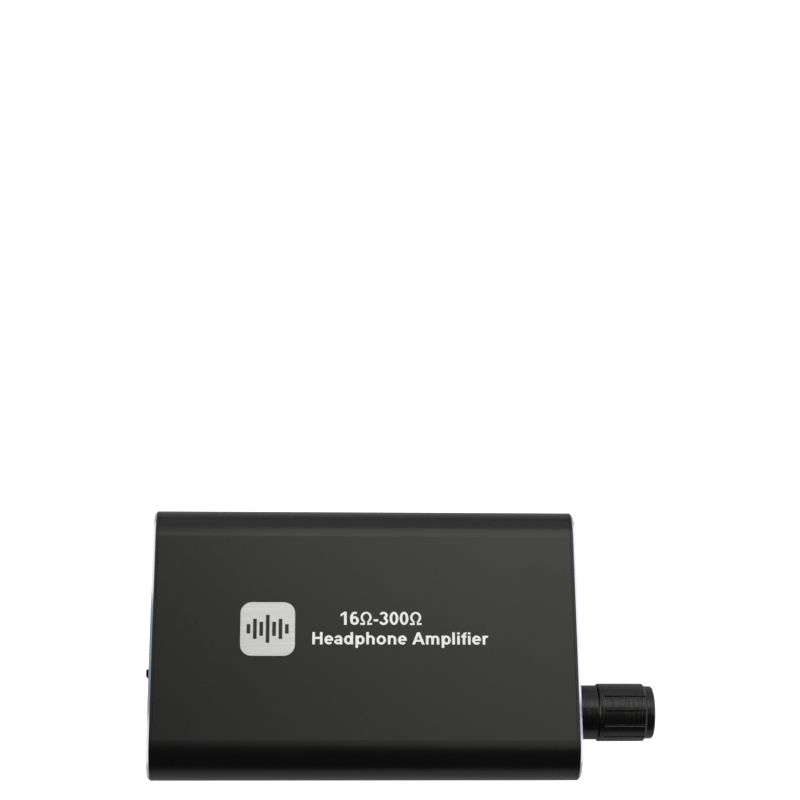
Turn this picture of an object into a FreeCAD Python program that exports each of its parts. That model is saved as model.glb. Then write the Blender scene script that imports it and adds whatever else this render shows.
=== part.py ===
"""Portable headphone amplifier: a flat-oval aluminium tube, two end plates and what they hold.

Millimetres. The origin is the centre of the case's underside, +X points to the
volume knob, +Y to the back and +Z up. Every sub-part is one object of the
document, bound to the cells of two spreadsheets: Sizes holds the driving
dimensions and Places the positions that follow from them.
"""

import FreeCAD
import Part
import Sketcher

import math
import os
import re

# Driving dimensions: alias, millimetres (or a count), what it measures.
SIZES = [
    # case
    ("case_depth", 61.6, "case, front to back"),
    ("case_height", 15.2, "case, underside to top; its half is the radius of the round sides"),
    ("tube_length", 93.9, "extruded tube without the end plates"),
    ("wall", 1.4, "tube wall"),
    ("edge_break", 0.06, "small bevel at each seam between tube and plate"),
    ("plate_thick", 1.2, "end plate"),
    ("plate_cut", 0.55, "bright bevel cut round an end plate's outer edge"),
    ("boss_inset", 4.6, "screw channel's axis, in from the case's side"),
    ("boss_radius", 2.2, "outside of a screw channel"),
    ("boss_slit", 0.8, "slit along a screw channel"),
    ("web_thick", 1.6, "web between a screw channel and the wall"),
    # plate screws
    ("screw_radius", 1.0, "plate screw's shank"),
    ("screw_grip", 0.02, "radial gap of the shank in its channel"),
    ("screw_gap", 0.1, "radial gap of the shank in the plate"),
    ("screw_length", 7.0, "plate screw, over all"),
    ("screw_head_radius", 1.9, "countersunk head"),
    ("screw_head_sink", 0.05, "head below the plate's face"),
    ("cross_length", 1.9, "cross recess, tip to tip"),
    ("cross_width", 0.45, "cross recess, one blade"),
    ("cross_depth", 0.5, "cross recess"),
    # badge
    ("badge_side", 12.2, "badge, along each side"),
    ("badge_corner", 2.55, "badge's corner radius"),
    ("badge_thick", 0.25, "badge"),
    ("badge_proud", 0.05, "badge above the case's top"),
    ("badge_gap", 0.05, "badge to the edge of its recess"),
    ("badge_x", -21.9, "badge's centre"),
    ("badge_y", 1.7, "badge's centre"),
    # main board and its rails
    ("board_side_gap", 0.56, "board's long edges to the tube's wall"),
    ("board_thick", 1.2, "board"),
    ("board_drop", 0.8, "board's top below the screw channels"),
    ("board_end_gap", 0.5, "board to each end plate"),
    ("rail_play", 0.1, "board to a rail, above and below"),
    ("rail_reach", 1.6, "how far a rail overlaps the board's edge"),
    ("rail_thick", 0.7, "lower rail"),
    ("rail_merge", 0.3, "how far an upper rail runs into the screw channel above it"),
    ("notch_gap", 0.4, "board to the volume control"),
    # volume control
    ("control_inset", 15.2, "volume axis, in from the case's front side"),
    ("control_side", 9.8, "control's square can, along each side"),
    ("control_depth", 7.4, "control's can, along the axis"),
    ("control_wall", 0.6, "control's can"),
    ("control_gap", 0.1, "can to the end plate"),
    ("track_thick", 1.0, "track wafer that closes the can"),
    ("power_depth", 3.2, "on-off section behind the wafer"),
    ("bush_radius", 3.6, "control's bush"),
    ("bush_gap", 0.15, "bush in the plate's hole, all round"),
    ("bush_sink", 0.1, "bush below the plate's face"),
    ("neck_radius", 2.5, "shaft inside the bush"),
    ("shaft_radius", 3.0, "shaft inside the knob"),
    ("shaft_gap", 0.25, "shaft's shoulder to the plate's face"),
    ("shaft_reach", 11.5, "shaft past its shoulder"),
    ("shaft_flat", 0.6, "depth of the shaft's flat"),
    ("turning_gap", 0.03, "radial gap of the neck in the bush"),
    ("rotor_radius", 3.7, "rotor disc on the shaft"),
    ("rotor_thick", 2.0, "rotor disc"),
    ("rotor_gap", 0.3, "rotor to the track"),
    ("terminal_width", 0.8, "soldered terminal"),
    ("terminal_thick", 0.3, "soldered terminal"),
    ("terminal_reach", 2.4, "soldered terminal along the board"),
    ("terminal_pitch", 2.0, "spacing of the volume control's terminals"),
    # knob
    ("knob_gap", 0.2, "knob to the plate's face"),
    ("collar_radius", 6.05, "knob's inner collar"),
    ("collar_length", 3.78, "knob's inner collar"),
    ("grip_radius", 6.45, "knob's grip"),
    ("grip_length", 10.9, "knob's grip"),
    ("grip_cut", 0.4, "bevel at each end of the grip"),
    ("nose_radius", 5.88, "knob's nose"),
    ("nose_length", 1.9, "knob's nose"),
    ("nose_round", 0.55, "rounding of the nose's edge"),
    ("knob_fit", 0.03, "radial gap of the shaft in the knob"),
    ("knob_end_gap", 0.4, "shaft's end to the bottom of the knob's bore"),
    ("groove_count", 12, "grooves round the grip"),
    ("groove_width", 0.5, "groove at the surface"),
    ("groove_depth", 0.3, "groove"),
    ("groove_start", 1.4, "plain stretch of the grip before the grooves"),
    ("groove_turn", 7.5, "first groove from the knob's top towards -Y, in degrees"),
    ("set_screw_radius", 1.25, "set screw in the knob's collar"),
    ("set_screw_sink", 0.3, "set screw below the collar's surface"),
    ("hex_flats", 1.3, "set screw's socket, across flats"),
    ("hex_depth", 1.1, "set screw's socket"),
    # jacks
    ("input_inset", 15.4, "input jack's axis, in from the case's back side"),
    ("jack_length", 14.6, "jack's block, along the axis"),
    ("jack_width", 7.0, "jack's block"),
    ("jack_height", 6.0, "jack's block"),
    ("jack_barrel", 3.0, "outer radius of the jack's barrel"),
    ("jack_bore", 1.8, "radius of the plug's bore"),
    ("jack_end_wall", 0.9, "block behind the bore"),
    ("barrel_gap", 0.15, "barrel in the plate's hole, all round"),
    ("barrel_sink", 0.1, "barrel below the plate's face"),
    ("contact_first", 2.4, "first contact, from the back of the block"),
    ("contact_pitch", 4.3, "spacing of the jack's contacts"),
    ("contact_width", 1.0, "jack contact, along the axis"),
    ("contact_height", 0.8, "jack contact's blade"),
    ("contact_gap", 0.15, "contact in its slot, all round"),
    ("contact_back", 0.08, "blade behind the bore's wall"),
    ("contact_foot", 0.8, "foot past the side of the block"),
    # indicator lamps
    ("charge_lamp_y", 1.2, "charging lamp's axis"),
    ("lamp_radius", 1.0, "lamp"),
    ("lamp_length", 3.6, "lamp, dome and all"),
    ("lamp_gap", 0.1, "lamp in the plate's hole, all round"),
    ("lamp_sink", 0.1, "lamp's dome below the plate's face"),
    ("lamp_leg", 0.4, "lamp's leg, square"),
    ("lamp_leg_pitch", 1.0, "spacing of the lamp's legs"),
    # gain switch
    ("switch_y", -5.8, "middle of the gain switch's travel"),
    ("switch_travel", 2.0, "gain slider's travel"),
    ("switch_width", 8.8, "switch frame, along the travel"),
    ("switch_depth", 3.6, "switch frame, away from the plate"),
    ("switch_height", 4.4, "switch frame"),
    ("switch_wall", 0.4, "switch frame"),
    ("switch_gap", 0.1, "switch frame to the end plate"),
    ("base_thick", 0.9, "insulating base of the switch"),
    ("nub_width", 1.8, "slider's nub, along the travel"),
    ("nub_height", 1.6, "slider's nub"),
    ("nub_proud", 1.1, "nub past the plate's face"),
    ("nub_round", 0.45, "rounding of the nub's outer edges"),
    ("nub_gap", 0.2, "nub in the plate's slot, all round"),
    ("block_width", 4.2, "slider's block in the frame, along the travel"),
    ("block_height", 2.8, "slider's block in the frame"),
    ("block_depth", 1.2, "slider's block in the frame"),
    ("block_gap", 0.15, "block to the inside of the frame"),
    ("clip_width", 3.0, "bridging clip on the block, along the travel"),
    ("clip_height", 1.4, "bridging clip"),
    ("clip_gap", 0.1, "bridging clip to the base"),
    # charging socket
    ("usb_y", 10.2, "charging socket's axis"),
    ("usb_width", 8.94, "socket's shell, outside"),
    ("usb_height", 3.2, "socket's shell, outside"),
    ("usb_length", 7.3, "socket's shell"),
    ("usb_wall", 0.3, "socket's shell"),
    ("usb_gap", 0.15, "shell in the plate's opening, all round"),
    ("usb_sink", 0.1, "shell below the plate's face"),
    ("usb_block", 2.2, "insulator at the back of the shell"),
    ("usb_fit", 0.02, "insulator in the shell, all round"),
    ("tongue_width", 6.6, "socket's tongue"),
    ("tongue_thick", 0.7, "socket's tongue"),
    ("tongue_length", 4.4, "socket's tongue past its insulator"),
    ("pad_count", 12, "contact pads on a side of the tongue"),
    ("pad_pitch", 0.5, "spacing of the contact pads"),
    ("pad_width", 0.25, "contact pad"),
    ("pad_thick", 0.05, "contact pad"),
    ("pad_length", 3.4, "contact pad"),
    # battery
    ("rear_room", 11.05, "from the rear plate to the battery"),
    ("front_room", 39.05, "from the battery to the front plate"),
    ("front_margin", 6.0, "battery's front side to the screw channel"),
    ("back_margin", 8.0, "battery's back side to the screw channel"),
    ("battery_thick", 5.0, "battery"),
    ("battery_round", 1.6, "rounding of the battery's long edges"),
    ("tape_thick", 0.5, "foam tape under the battery"),
    ("tape_inset", 3.0, "tape in from the battery's edges"),
    ("lead_radius", 0.5, "battery lead"),
    ("lead_pitch", 2.0, "spacing of the leads"),
    ("lead_inset", 4.4, "middle of the leads, in from the battery's front side"),
    ("lead_run", 3.6, "straight run of a lead at each end"),
    ("lead_bend", 4.0, "radius of a lead's bends"),
    ("header_inset", 26.05, "battery header's open face, in from the front plate"),
    ("header_gap", 2.9, "battery header to the screw channel"),
    ("header_length", 7.6, "battery header, along the case"),
    ("header_width", 7.8, "battery header"),
    ("header_height", 4.8, "battery header"),
    ("header_wall", 0.8, "battery header"),
    ("plug_gap", 0.1, "battery plug in its header"),
    ("plug_out", 0.6, "battery plug past its header"),
    # parts on the board
    ("chip_inset", 32.55, "amplifier chips, in from the front plate"),
    ("chip_width", 3.9, "amplifier chip's body"),
    ("chip_height", 1.5, "amplifier chip's body"),
    ("chip_lift", 0.12, "chip's body above the board"),
    ("chip_pitch", 11.0, "from one amplifier chip to the next"),
    ("leg_pitch", 1.27, "spacing of a chip's legs"),
    ("leg_width", 0.42, "chip's leg"),
    ("leg_thick", 0.2, "chip's leg"),
    ("leg_span", 6.0, "over a chip's legs"),
    ("charger_inset", 5.65, "charging chip, in from the rear plate"),
    ("charger_gap", 4.4, "middle of the charging chip to the screw channel"),
    ("can_radius", 3.15, "storage capacitor"),
    ("can_height", 5.4, "storage capacitor"),
    ("can_base", 1.0, "capacitor's square base"),
    ("can_inset", 33.05, "first storage capacitor, in from the front plate"),
    ("can_gap", 1.45, "storage capacitor to the screw channel"),
    ("can_pitch", 8.2, "from one storage capacitor to the next"),
    ("can_count", 2, "storage capacitors"),
    ("coil_side", 4.0, "supply coil"),
    ("coil_height", 2.0, "supply coil"),
    ("coil_inset", 17.2, "supply coil, in from the front plate"),
    ("coil_gap", 3.7, "supply coil to the battery header"),
    ("small_length", 1.6, "resistor or ceramic capacitor"),
    ("small_width", 0.8, "resistor or ceramic capacitor"),
    ("small_height", 0.5, "resistor or ceramic capacitor"),
    ("small_inset", 26.45, "first column of small parts, in from the front plate"),
    ("small_gap", 3.9, "first row of small parts to the battery header"),
    ("small_pitch_x", 2.9, "from one column of small parts to the next"),
    ("small_pitch_y", 1.8, "from one row of small parts to the next"),
    ("small_columns", 3, "columns of small parts"),
    ("small_rows", 9, "rows of small parts"),
]

# Positions that follow from the sizes: alias, formula, what it is.
PLACES = [
    ("side_radius", "case_height / 2", "radius of the case's round sides"),
    ("side_y", "case_depth / 2 - side_radius", "centre of a round side"),
    ("mid_z", "case_height / 2", "half the case's height"),
    ("tube_end", "tube_length / 2", "seam between tube and plate"),
    ("plate_face", "tube_end + plate_thick", "outer face of an end plate"),
    ("boss_y", "case_depth / 2 - boss_inset", "axis of a screw channel"),
    ("board_top", "mid_z - boss_radius - board_drop", "board's upper face"),
    ("board_low", "board_top - board_thick", "board's lower face"),
    ("board_end", "tube_end - board_end_gap", "board's ends"),
    ("channel_in", "boss_y - boss_radius", "inner side of a screw channel"),
    (
        "board_edge",
        "side_y + sqrt((side_radius - wall) ^ 2 - (mid_z - board_low) ^ 2) - board_side_gap",
        "board's long edges",
    ),
    ("rail_in", "board_edge - rail_reach", "inner edge of a rail"),
    ("low_rail_top", "board_low - rail_play", "top of a lower rail"),
    ("high_rail_low", "board_top + rail_play", "underside of an upper rail"),
    ("high_rail_top", "mid_z - boss_radius + rail_merge", "top of an upper rail"),
    ("wall_middle", "side_radius - wall / 2", "radius of the middle of the round wall"),
    (
        "low_rail_out",
        "side_y + sqrt(wall_middle ^ 2 - (mid_z - low_rail_top + rail_thick) ^ 2)",
        "where a lower rail ends, inside the wall",
    ),
    (
        "high_rail_out",
        "side_y + sqrt(wall_middle ^ 2 - (mid_z - high_rail_low) ^ 2)",
        "where an upper rail ends, inside the wall",
    ),
    ("control_y", "control_inset - case_depth / 2", "volume axis"),
    ("control_front", "tube_end - control_gap", "front of the volume control's can"),
    ("track_face", "control_front - control_depth", "track's face towards the rotor"),
    ("section_back", "track_face - track_thick - power_depth", "back of the on-off section"),
    ("rotor_low", "track_face + rotor_gap", "rotor's face towards the track"),
    ("shoulder_x", "plate_face + shaft_gap", "shaft's shoulder"),
    ("shaft_end", "shoulder_x + shaft_reach", "shaft's end"),
    ("knob_back", "plate_face + knob_gap", "knob's back"),
    ("grip_back", "knob_back + collar_length", "back of the knob's grip"),
    ("grip_front", "grip_back + grip_length", "front of the knob's grip"),
    ("knob_front", "grip_front + nose_length", "knob's front"),
    ("set_screw_x", "knob_back + collar_length / 2", "set screw's axis"),
    ("input_y", "case_depth / 2 - input_inset", "input jack's axis"),
    ("output_y", "(input_y + control_y) / 2", "output jack's axis, midway to the volume axis"),
    ("power_lamp_y", "(input_y + output_y) / 2", "power lamp's axis"),
    ("jack_front", "tube_end - control_gap", "front of a jack's block"),
    ("jack_back", "jack_front - jack_length", "back of a jack's block"),
    ("jack_z", "board_top + jack_height / 2", "axis of the jacks"),
    ("lamp_z", "jack_z", "axis of the lamps"),
    ("lamp_tip", "plate_face - lamp_sink", "tip of a lamp's dome"),
    ("switch_front", "tube_end - switch_gap", "switch frame's front, from the middle"),
    ("switch_back", "switch_front - switch_depth", "switch frame's back, from the middle"),
    ("switch_z", "board_top + switch_height / 2", "middle of the gain switch"),
    ("slider_y", "switch_y - switch_travel / 2", "gain slider at rest"),
    ("block_front", "switch_front - switch_wall - block_gap", "slider block's front"),
    ("block_back", "block_front - block_depth", "slider block's back"),
    ("usb_z", "board_top + usb_height / 2", "axis of the charging socket"),
    ("usb_front", "plate_face - usb_sink", "mouth of the charging socket, from the middle"),
    ("usb_back", "usb_front - usb_length", "back of the charging socket, from the middle"),
    ("tape_top", "board_top + tape_thick", "underside of the battery"),
    ("battery_top", "tape_top + battery_thick", "top of the battery"),
    ("battery_back", "rear_room - tube_end", "battery's rear edge"),
    ("battery_front", "tube_end - front_room", "battery's front edge"),
    ("battery_low_y", "front_margin - channel_in", "battery's front side"),
    ("battery_high_y", "channel_in - back_margin", "battery's back side"),
    ("lead_y", "battery_low_y + lead_inset", "middle of the leads at the battery"),
    ("header_x", "tube_end - header_inset", "battery header's open face"),
    ("header_y", "header_width / 2 + header_gap - channel_in", "battery header's middle"),
    ("header_z", "board_top + header_height / 2", "middle of the battery header"),
    ("chip_x", "tube_end - chip_inset", "amplifier chips"),
    ("charger_x", "charger_inset - tube_end", "charging chip"),
    ("charger_y", "charger_gap - channel_in", "charging chip"),
    ("can_x", "tube_end - can_inset", "first storage capacitor"),
    ("can_y", "channel_in - can_radius - can_gap", "storage capacitors"),
    ("header_side", "header_y + header_width / 2", "battery header's side towards the middle"),
    ("coil_x", "tube_end - coil_inset", "supply coil"),
    ("coil_y", "header_side + coil_gap + coil_side / 2", "supply coil"),
    ("small_x", "tube_end - small_inset", "first column of small parts"),
    ("small_y", "header_side + small_gap + small_width / 2", "first row of small parts"),
    ("badge_low", "case_height + badge_proud - badge_thick", "underside of the badge"),
]

ALIASES = {row[0]: "Sizes" for row in SIZES}
ALIASES.update({row[0]: "Places" for row in PLACES})

X_AXIS = FreeCAD.Vector(1, 0, 0)
Y_AXIS = FreeCAD.Vector(0, 1, 0)
UPRIGHT = FreeCAD.Rotation()
ALONG_X = FreeCAD.Rotation(Y_AXIS, 90)
ALONG_MINUS_X = FreeCAD.Rotation(Y_AXIS, -90)
DOWNWARDS = FreeCAD.Rotation(X_AXIS, 180)


def formula(text):
    """Return an expression in which every alias is given with its sheet."""
    return re.sub(
        r"[a-z][a-z_0-9]*",
        lambda word: f"<<{ALIASES[word[0]]}>>.{word[0]}" if word[0] in ALIASES else word[0],
        str(text),
    )


def make_sheet(doc, name, rows):
    """Write one spreadsheet: the alias, its content and what it is, row by row."""
    sheet = doc.addObject("Spreadsheet::Sheet", name)
    for number, (alias, content, meaning) in enumerate(rows, start=1):
        sheet.set(f"A{number}", alias)
        sheet.set(f"B{number}", content)
        sheet.set(f"C{number}", meaning)
        sheet.setAlias(f"B{number}", alias)
    return sheet


def make_sheets(doc):
    """Write the driving sizes and the places that follow from them."""
    make_sheet(doc, "Sizes", [(alias, str(size), note) for alias, size, note in SIZES])
    make_sheet(doc, "Places", [(alias, "=" + formula(text), note) for alias, text, note in PLACES])
    doc.recompute()


def value(doc, text):
    """Return the number that an expression of aliases gives."""
    return float(doc.getObject("Sizes").evalExpression(formula(text)))


def point(doc, *texts):
    """Return the point that three expressions give."""
    return FreeCAD.Vector(*(value(doc, text) for text in texts))


def bind(piece, **expressions):
    """Bind properties to expressions; a double underscore stands for a dot."""
    for name, text in expressions.items():
        piece.setExpression(name.replace("__", "."), formula(text))


def place(piece, spot, rotation=UPRIGHT):
    """Turn a piece and bind its position to three expressions."""
    piece.Placement = FreeCAD.Placement(FreeCAD.Vector(), rotation)
    for letter, text in zip("xyz", spot):
        piece.setExpression(f"Placement.Base.{letter}", formula(text))


# Part primitives -----------------------------------------------------------


def box(doc, name, x_span, y_span, z_span):
    """Make a block between two expressions along each axis."""
    piece = doc.addObject("Part::Box", name)
    spans = (x_span, y_span, z_span)
    for side, (low, high) in zip(("Length", "Width", "Height"), spans):
        bind(piece, **{side: f"({high}) - ({low})"})
    place(piece, [low for low, _ in spans])
    return piece


def square_span(centre, side):
    """Give the two ends of a width about its centre."""
    return (f"{centre} - ({side}) / 2", f"{centre} + ({side}) / 2")


def from_rear(near, far):
    """Give the span along X, low end first, between two distances behind the middle."""
    return (f"-({far})", f"-({near})")


def rod(doc, name, radius, length, spot, rotation=ALONG_X):
    """Make a cylinder that starts at a spot and runs the way it is turned."""
    piece = doc.addObject("Part::Cylinder", name)
    bind(piece, Radius=radius, Height=length)
    place(piece, spot, rotation)
    return piece


def cone(doc, name, radii, length, spot, rotation=ALONG_X):
    """Make a cone from its first radius at a spot to its second."""
    piece = doc.addObject("Part::Cone", name)
    bind(piece, Radius1=radii[0], Radius2=radii[1], Height=length)
    place(piece, spot, rotation)
    return piece


def ball(doc, name, radius, spot):
    """Make a sphere."""
    piece = doc.addObject("Part::Sphere", name)
    bind(piece, Radius=radius)
    place(piece, spot)
    return piece


def fuse(doc, name, pieces):
    """Join touching pieces into one solid."""
    joined = doc.addObject("Part::MultiFuse", name)
    joined.Shapes = pieces
    joined.Refine = True
    return joined


def cut(doc, name, base, tools):
    """Take tools away from a piece, and check that they took something."""
    result = doc.addObject("Part::Cut", name)
    result.Base = base
    result.Tool = tools[0] if len(tools) == 1 else fuse(doc, name + "_tools", tools)
    doc.recompute()
    if not result.Shape.Volume < base.Shape.Volume:
        raise ValueError(f"{name}: the cut takes nothing away")
    return result


def group(doc, name, pieces):
    """Hold separate solids of one kind in one sub-part."""
    held = doc.addObject("Part::Compound", name)
    held.Links = pieces
    return held


# Part design ---------------------------------------------------------------


def make_body(doc, name, spot=("0", "0", "0")):
    """Make an empty body at a place given by expressions."""
    body = doc.addObject("PartDesign::Body", name)
    place(body, spot)
    return body


def sketch(body, role, offset="0"):
    """Attach a sketch to one of the body's origin planes, moved along its normal."""
    plane = next(item for item in body.Origin.OriginFeatures if item.Role == role)
    drawing = body.newObject("Sketcher::SketchObject", "Sketch")
    drawing.AttachmentSupport = [(plane, "")]
    drawing.MapMode = "FlatFace"
    drawing.setExpression("AttachmentOffset.Base.z", formula(offset))
    return drawing


def pin_point(doc, drawing, geometry, vertex, spot):
    """Hold a point of a sketch at two expressions, measured from its origin."""
    for kind, text in zip(("DistanceX", "DistanceY"), spot):
        size = value(doc, text)
        index = drawing.addConstraint(
            Sketcher.Constraint(kind, -1, 1, geometry, vertex, size)
        )
        drawing.setExpression(f"Constraints[{index}]", formula(text))


def draw_outline(doc, drawing, points):
    """Draw a closed outline of straight lines through points given by expressions."""
    corners = [FreeCAD.Vector(value(doc, u), value(doc, v), 0) for u, v in points]
    first = drawing.GeometryCount
    for start, end in zip(corners, corners[1:] + corners[:1]):
        drawing.addGeometry(Part.LineSegment(start, end))
    count = len(points)
    for step, spot in enumerate(points):
        before = first + (step - 1) % count
        drawing.addConstraint(Sketcher.Constraint("Coincident", before, 2, first + step, 1))
        pin_point(doc, drawing, first + step, 1, spot)


def draw_rectangle(doc, drawing, u_span, v_span):
    """Draw a rectangle between two expressions each way."""
    low, high = zip(u_span, v_span)
    draw_outline(doc, drawing, [low, (high[0], low[1]), high, (low[0], high[1])])


def draw_circle(doc, drawing, radius, spot):
    """Draw a circle whose radius and centre are expressions."""
    centre = FreeCAD.Vector(value(doc, spot[0]), value(doc, spot[1]), 0)
    size = value(doc, radius)
    circle = Part.Circle(centre, FreeCAD.Vector(0, 0, 1), size)
    index = drawing.addGeometry(circle)
    pin_point(doc, drawing, index, 3, spot)
    held = drawing.addConstraint(Sketcher.Constraint("Radius", index, size))
    drawing.setExpression(f"Constraints[{held}]", formula(radius))


def draw_slot(doc, drawing, half_span, radius, spot):
    """Draw a flat oval: two half rounds, each half a span from the middle, and two lines."""
    reach = value(doc, half_span)
    size = value(doc, radius)
    u, v = (value(doc, text) for text in spot)
    up = FreeCAD.Vector(0, 0, 1)
    quarter = math.pi / 2
    right = Part.Circle(FreeCAD.Vector(u + reach, v, 0), up, size)
    left = Part.Circle(FreeCAD.Vector(u - reach, v, 0), up, size)
    arc_right = drawing.addGeometry(Part.ArcOfCircle(right, -quarter, quarter))
    arc_left = drawing.addGeometry(Part.ArcOfCircle(left, quarter, 3 * quarter))
    top = drawing.addGeometry(
        Part.LineSegment(FreeCAD.Vector(u + reach, v + size, 0), FreeCAD.Vector(u - reach, v + size, 0))
    )
    low = drawing.addGeometry(
        Part.LineSegment(FreeCAD.Vector(u - reach, v - size, 0), FreeCAD.Vector(u + reach, v - size, 0))
    )
    for one, its_end, other, other_end in (
        (arc_right, 2, top, 1),
        (top, 2, arc_left, 1),
        (arc_left, 2, low, 1),
        (low, 2, arc_right, 1),
    ):
        drawing.addConstraint(Sketcher.Constraint("Tangent", one, its_end, other, other_end))
    pin_point(doc, drawing, arc_right, 3, (f"{spot[0]} + {half_span}", spot[1]))
    pin_point(doc, drawing, arc_left, 3, (f"{spot[0]} - {half_span}", spot[1]))
    held = drawing.addConstraint(Sketcher.Constraint("Radius", arc_right, size))
    drawing.setExpression(f"Constraints[{held}]", formula(radius))


def pad(body, drawing, length):
    """Raise a sketch along its normal."""
    raised = body.newObject("PartDesign::Pad", "Pad")
    raised.Profile = drawing
    bind(raised, Length=length)
    drawing.Document.recompute()
    return raised


def pocket(body, drawing, length):
    """Sink a sketch along its normal, and check that it took material away."""
    before = body.Shape.Volume
    sunk = body.newObject("PartDesign::Pocket", "Pocket")
    sunk.Profile = drawing
    sunk.Reversed = True
    bind(sunk, Length=length)
    drawing.Document.recompute()
    if not body.Shape.Volume < before:
        raise ValueError(f"{body.Name}: {sunk.Name} takes nothing away")
    return sunk


def edges_where(shape, test):
    """Name the edges of a shape whose bounding box passes a test."""
    return [f"Edge{n}" for n, edge in enumerate(shape.Edges, start=1) if test(edge.BoundBox)]


def bevel(body, base, size, test):
    """Bevel the edges of a feature that pass a test."""
    cut_edges = body.newObject("PartDesign::Chamfer", "Chamfer")
    cut_edges.Base = (base, edges_where(base.Shape, test))
    bind(cut_edges, Size=size)
    body.Document.recompute()
    return cut_edges


def rounding(body, base, size, test):
    """Round the edges of a feature that pass a test."""
    rounded = body.newObject("PartDesign::Fillet", "Fillet")
    rounded.Base = (base, edges_where(base.Shape, test))
    bind(rounded, Radius=size)
    body.Document.recompute()
    return rounded


# Case ----------------------------------------------------------------------


def at_x(position):
    """Return a test for edges that lie in one plane across the X axis."""
    return lambda bounds: abs(bounds.XMin - position) < 1e-4 and abs(bounds.XMax - position) < 1e-4


def make_case_tube(doc):
    """Extruded tube with screw channels and board rails, open at both ends."""
    body = make_body(doc, "case_tube")
    start = "-tube_end"
    outline = sketch(body, "YZ_Plane", start)
    draw_slot(doc, outline, "side_y", "side_radius", ("0", "mid_z"))
    pad(body, outline, "tube_length")
    hollow = sketch(body, "YZ_Plane", start)
    draw_slot(doc, hollow, "side_y", "side_radius - wall", ("0", "mid_z"))
    pocket(body, hollow, "tube_length")
    rails = sketch(body, "YZ_Plane", start)
    webs = sketch(body, "YZ_Plane", start)
    channels = sketch(body, "YZ_Plane", start)
    for side in ("", "-"):
        low_rail = (f"{side}rail_in", f"{side}low_rail_out")
        high_rail = (f"{side}rail_in", f"{side}high_rail_out")
        web = (f"{side}boss_y", f"{side}(case_depth / 2 - wall / 2)")
        draw_rectangle(doc, rails, low_rail, ("low_rail_top - rail_thick", "low_rail_top"))
        draw_rectangle(doc, rails, high_rail, ("high_rail_low", "high_rail_top"))
        draw_rectangle(doc, webs, web, ("mid_z - web_thick / 2", "mid_z + web_thick / 2"))
        draw_circle(doc, channels, "boss_radius", (f"{side}boss_y", "mid_z"))
    for drawing in (rails, webs, channels):
        pad(body, drawing, "tube_length")
    holes = sketch(body, "YZ_Plane", start)
    slits = sketch(body, "YZ_Plane", start)
    for side in ("", "-"):
        slit = (f"{side}(boss_y - boss_radius - screw_radius)", f"{side}boss_y")
        draw_circle(doc, holes, "screw_radius + screw_grip", (f"{side}boss_y", "mid_z"))
        draw_rectangle(doc, slits, slit, ("mid_z - boss_slit / 2", "mid_z + boss_slit / 2"))
    pocket(body, holes, "tube_length")
    pocket(body, slits, "tube_length")
    recess = sketch(body, "XY_Plane", "badge_low")
    draw_badge_outline(doc, recess, "badge_gap")
    last = pocket(body, recess, "badge_thick")
    end, height = value(doc, "tube_end"), value(doc, "case_height")

    def on_rim(bounds):
        """Say whether an edge is part of the outer outline at an end."""
        outside = bounds.ZMin < 1e-4 or bounds.ZMax > height - 1e-4
        return outside and (at_x(end)(bounds) or at_x(-end)(bounds))

    bevel(body, last, "edge_break", on_rim)
    return body


def draw_badge_outline(doc, drawing, margin):
    """Draw the badge's rounded square, grown by a margin."""
    half = f"badge_side / 2 + {margin}"
    corner = f"badge_corner + {margin}"
    reach = value(doc, half)
    size = value(doc, corner)
    x, y = value(doc, "badge_x"), value(doc, "badge_y")
    inner = reach - size
    up = FreeCAD.Vector(0, 0, 1)
    arcs = []
    for turn, (u, v) in enumerate(((1, 1), (-1, 1), (-1, -1), (1, -1))):
        centre = FreeCAD.Vector(x + u * inner, y + v * inner, 0)
        sweep = (turn * math.pi / 2, (turn + 1) * math.pi / 2)
        arc = drawing.addGeometry(Part.ArcOfCircle(Part.Circle(centre, up, size), *sweep))
        u_text = f"badge_x + {u} * (badge_side / 2 - badge_corner)"
        v_text = f"badge_y + {v} * (badge_side / 2 - badge_corner)"
        pin_point(doc, drawing, arc, 3, (u_text, v_text))
        arcs.append(arc)
    held = drawing.addConstraint(Sketcher.Constraint("Radius", arcs[0], size))
    drawing.setExpression(f"Constraints[{held}]", formula(corner))
    for arc, after in zip(arcs, arcs[1:] + arcs[:1]):
        start, end = drawing.getPoint(arc, 2), drawing.getPoint(after, 1)
        line = drawing.addGeometry(Part.LineSegment(start, end))
        drawing.addConstraint(Sketcher.Constraint("Tangent", arc, 2, line, 1))
        drawing.addConstraint(Sketcher.Constraint("Tangent", line, 2, after, 1))


def make_name_badge(doc):
    """Thin metal badge glued in the recess on the case's top."""
    body = make_body(doc, "badge_plate")
    outline = sketch(body, "XY_Plane", "badge_low")
    draw_badge_outline(doc, outline, "0")
    pad(body, outline, "badge_thick")
    return body


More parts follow.
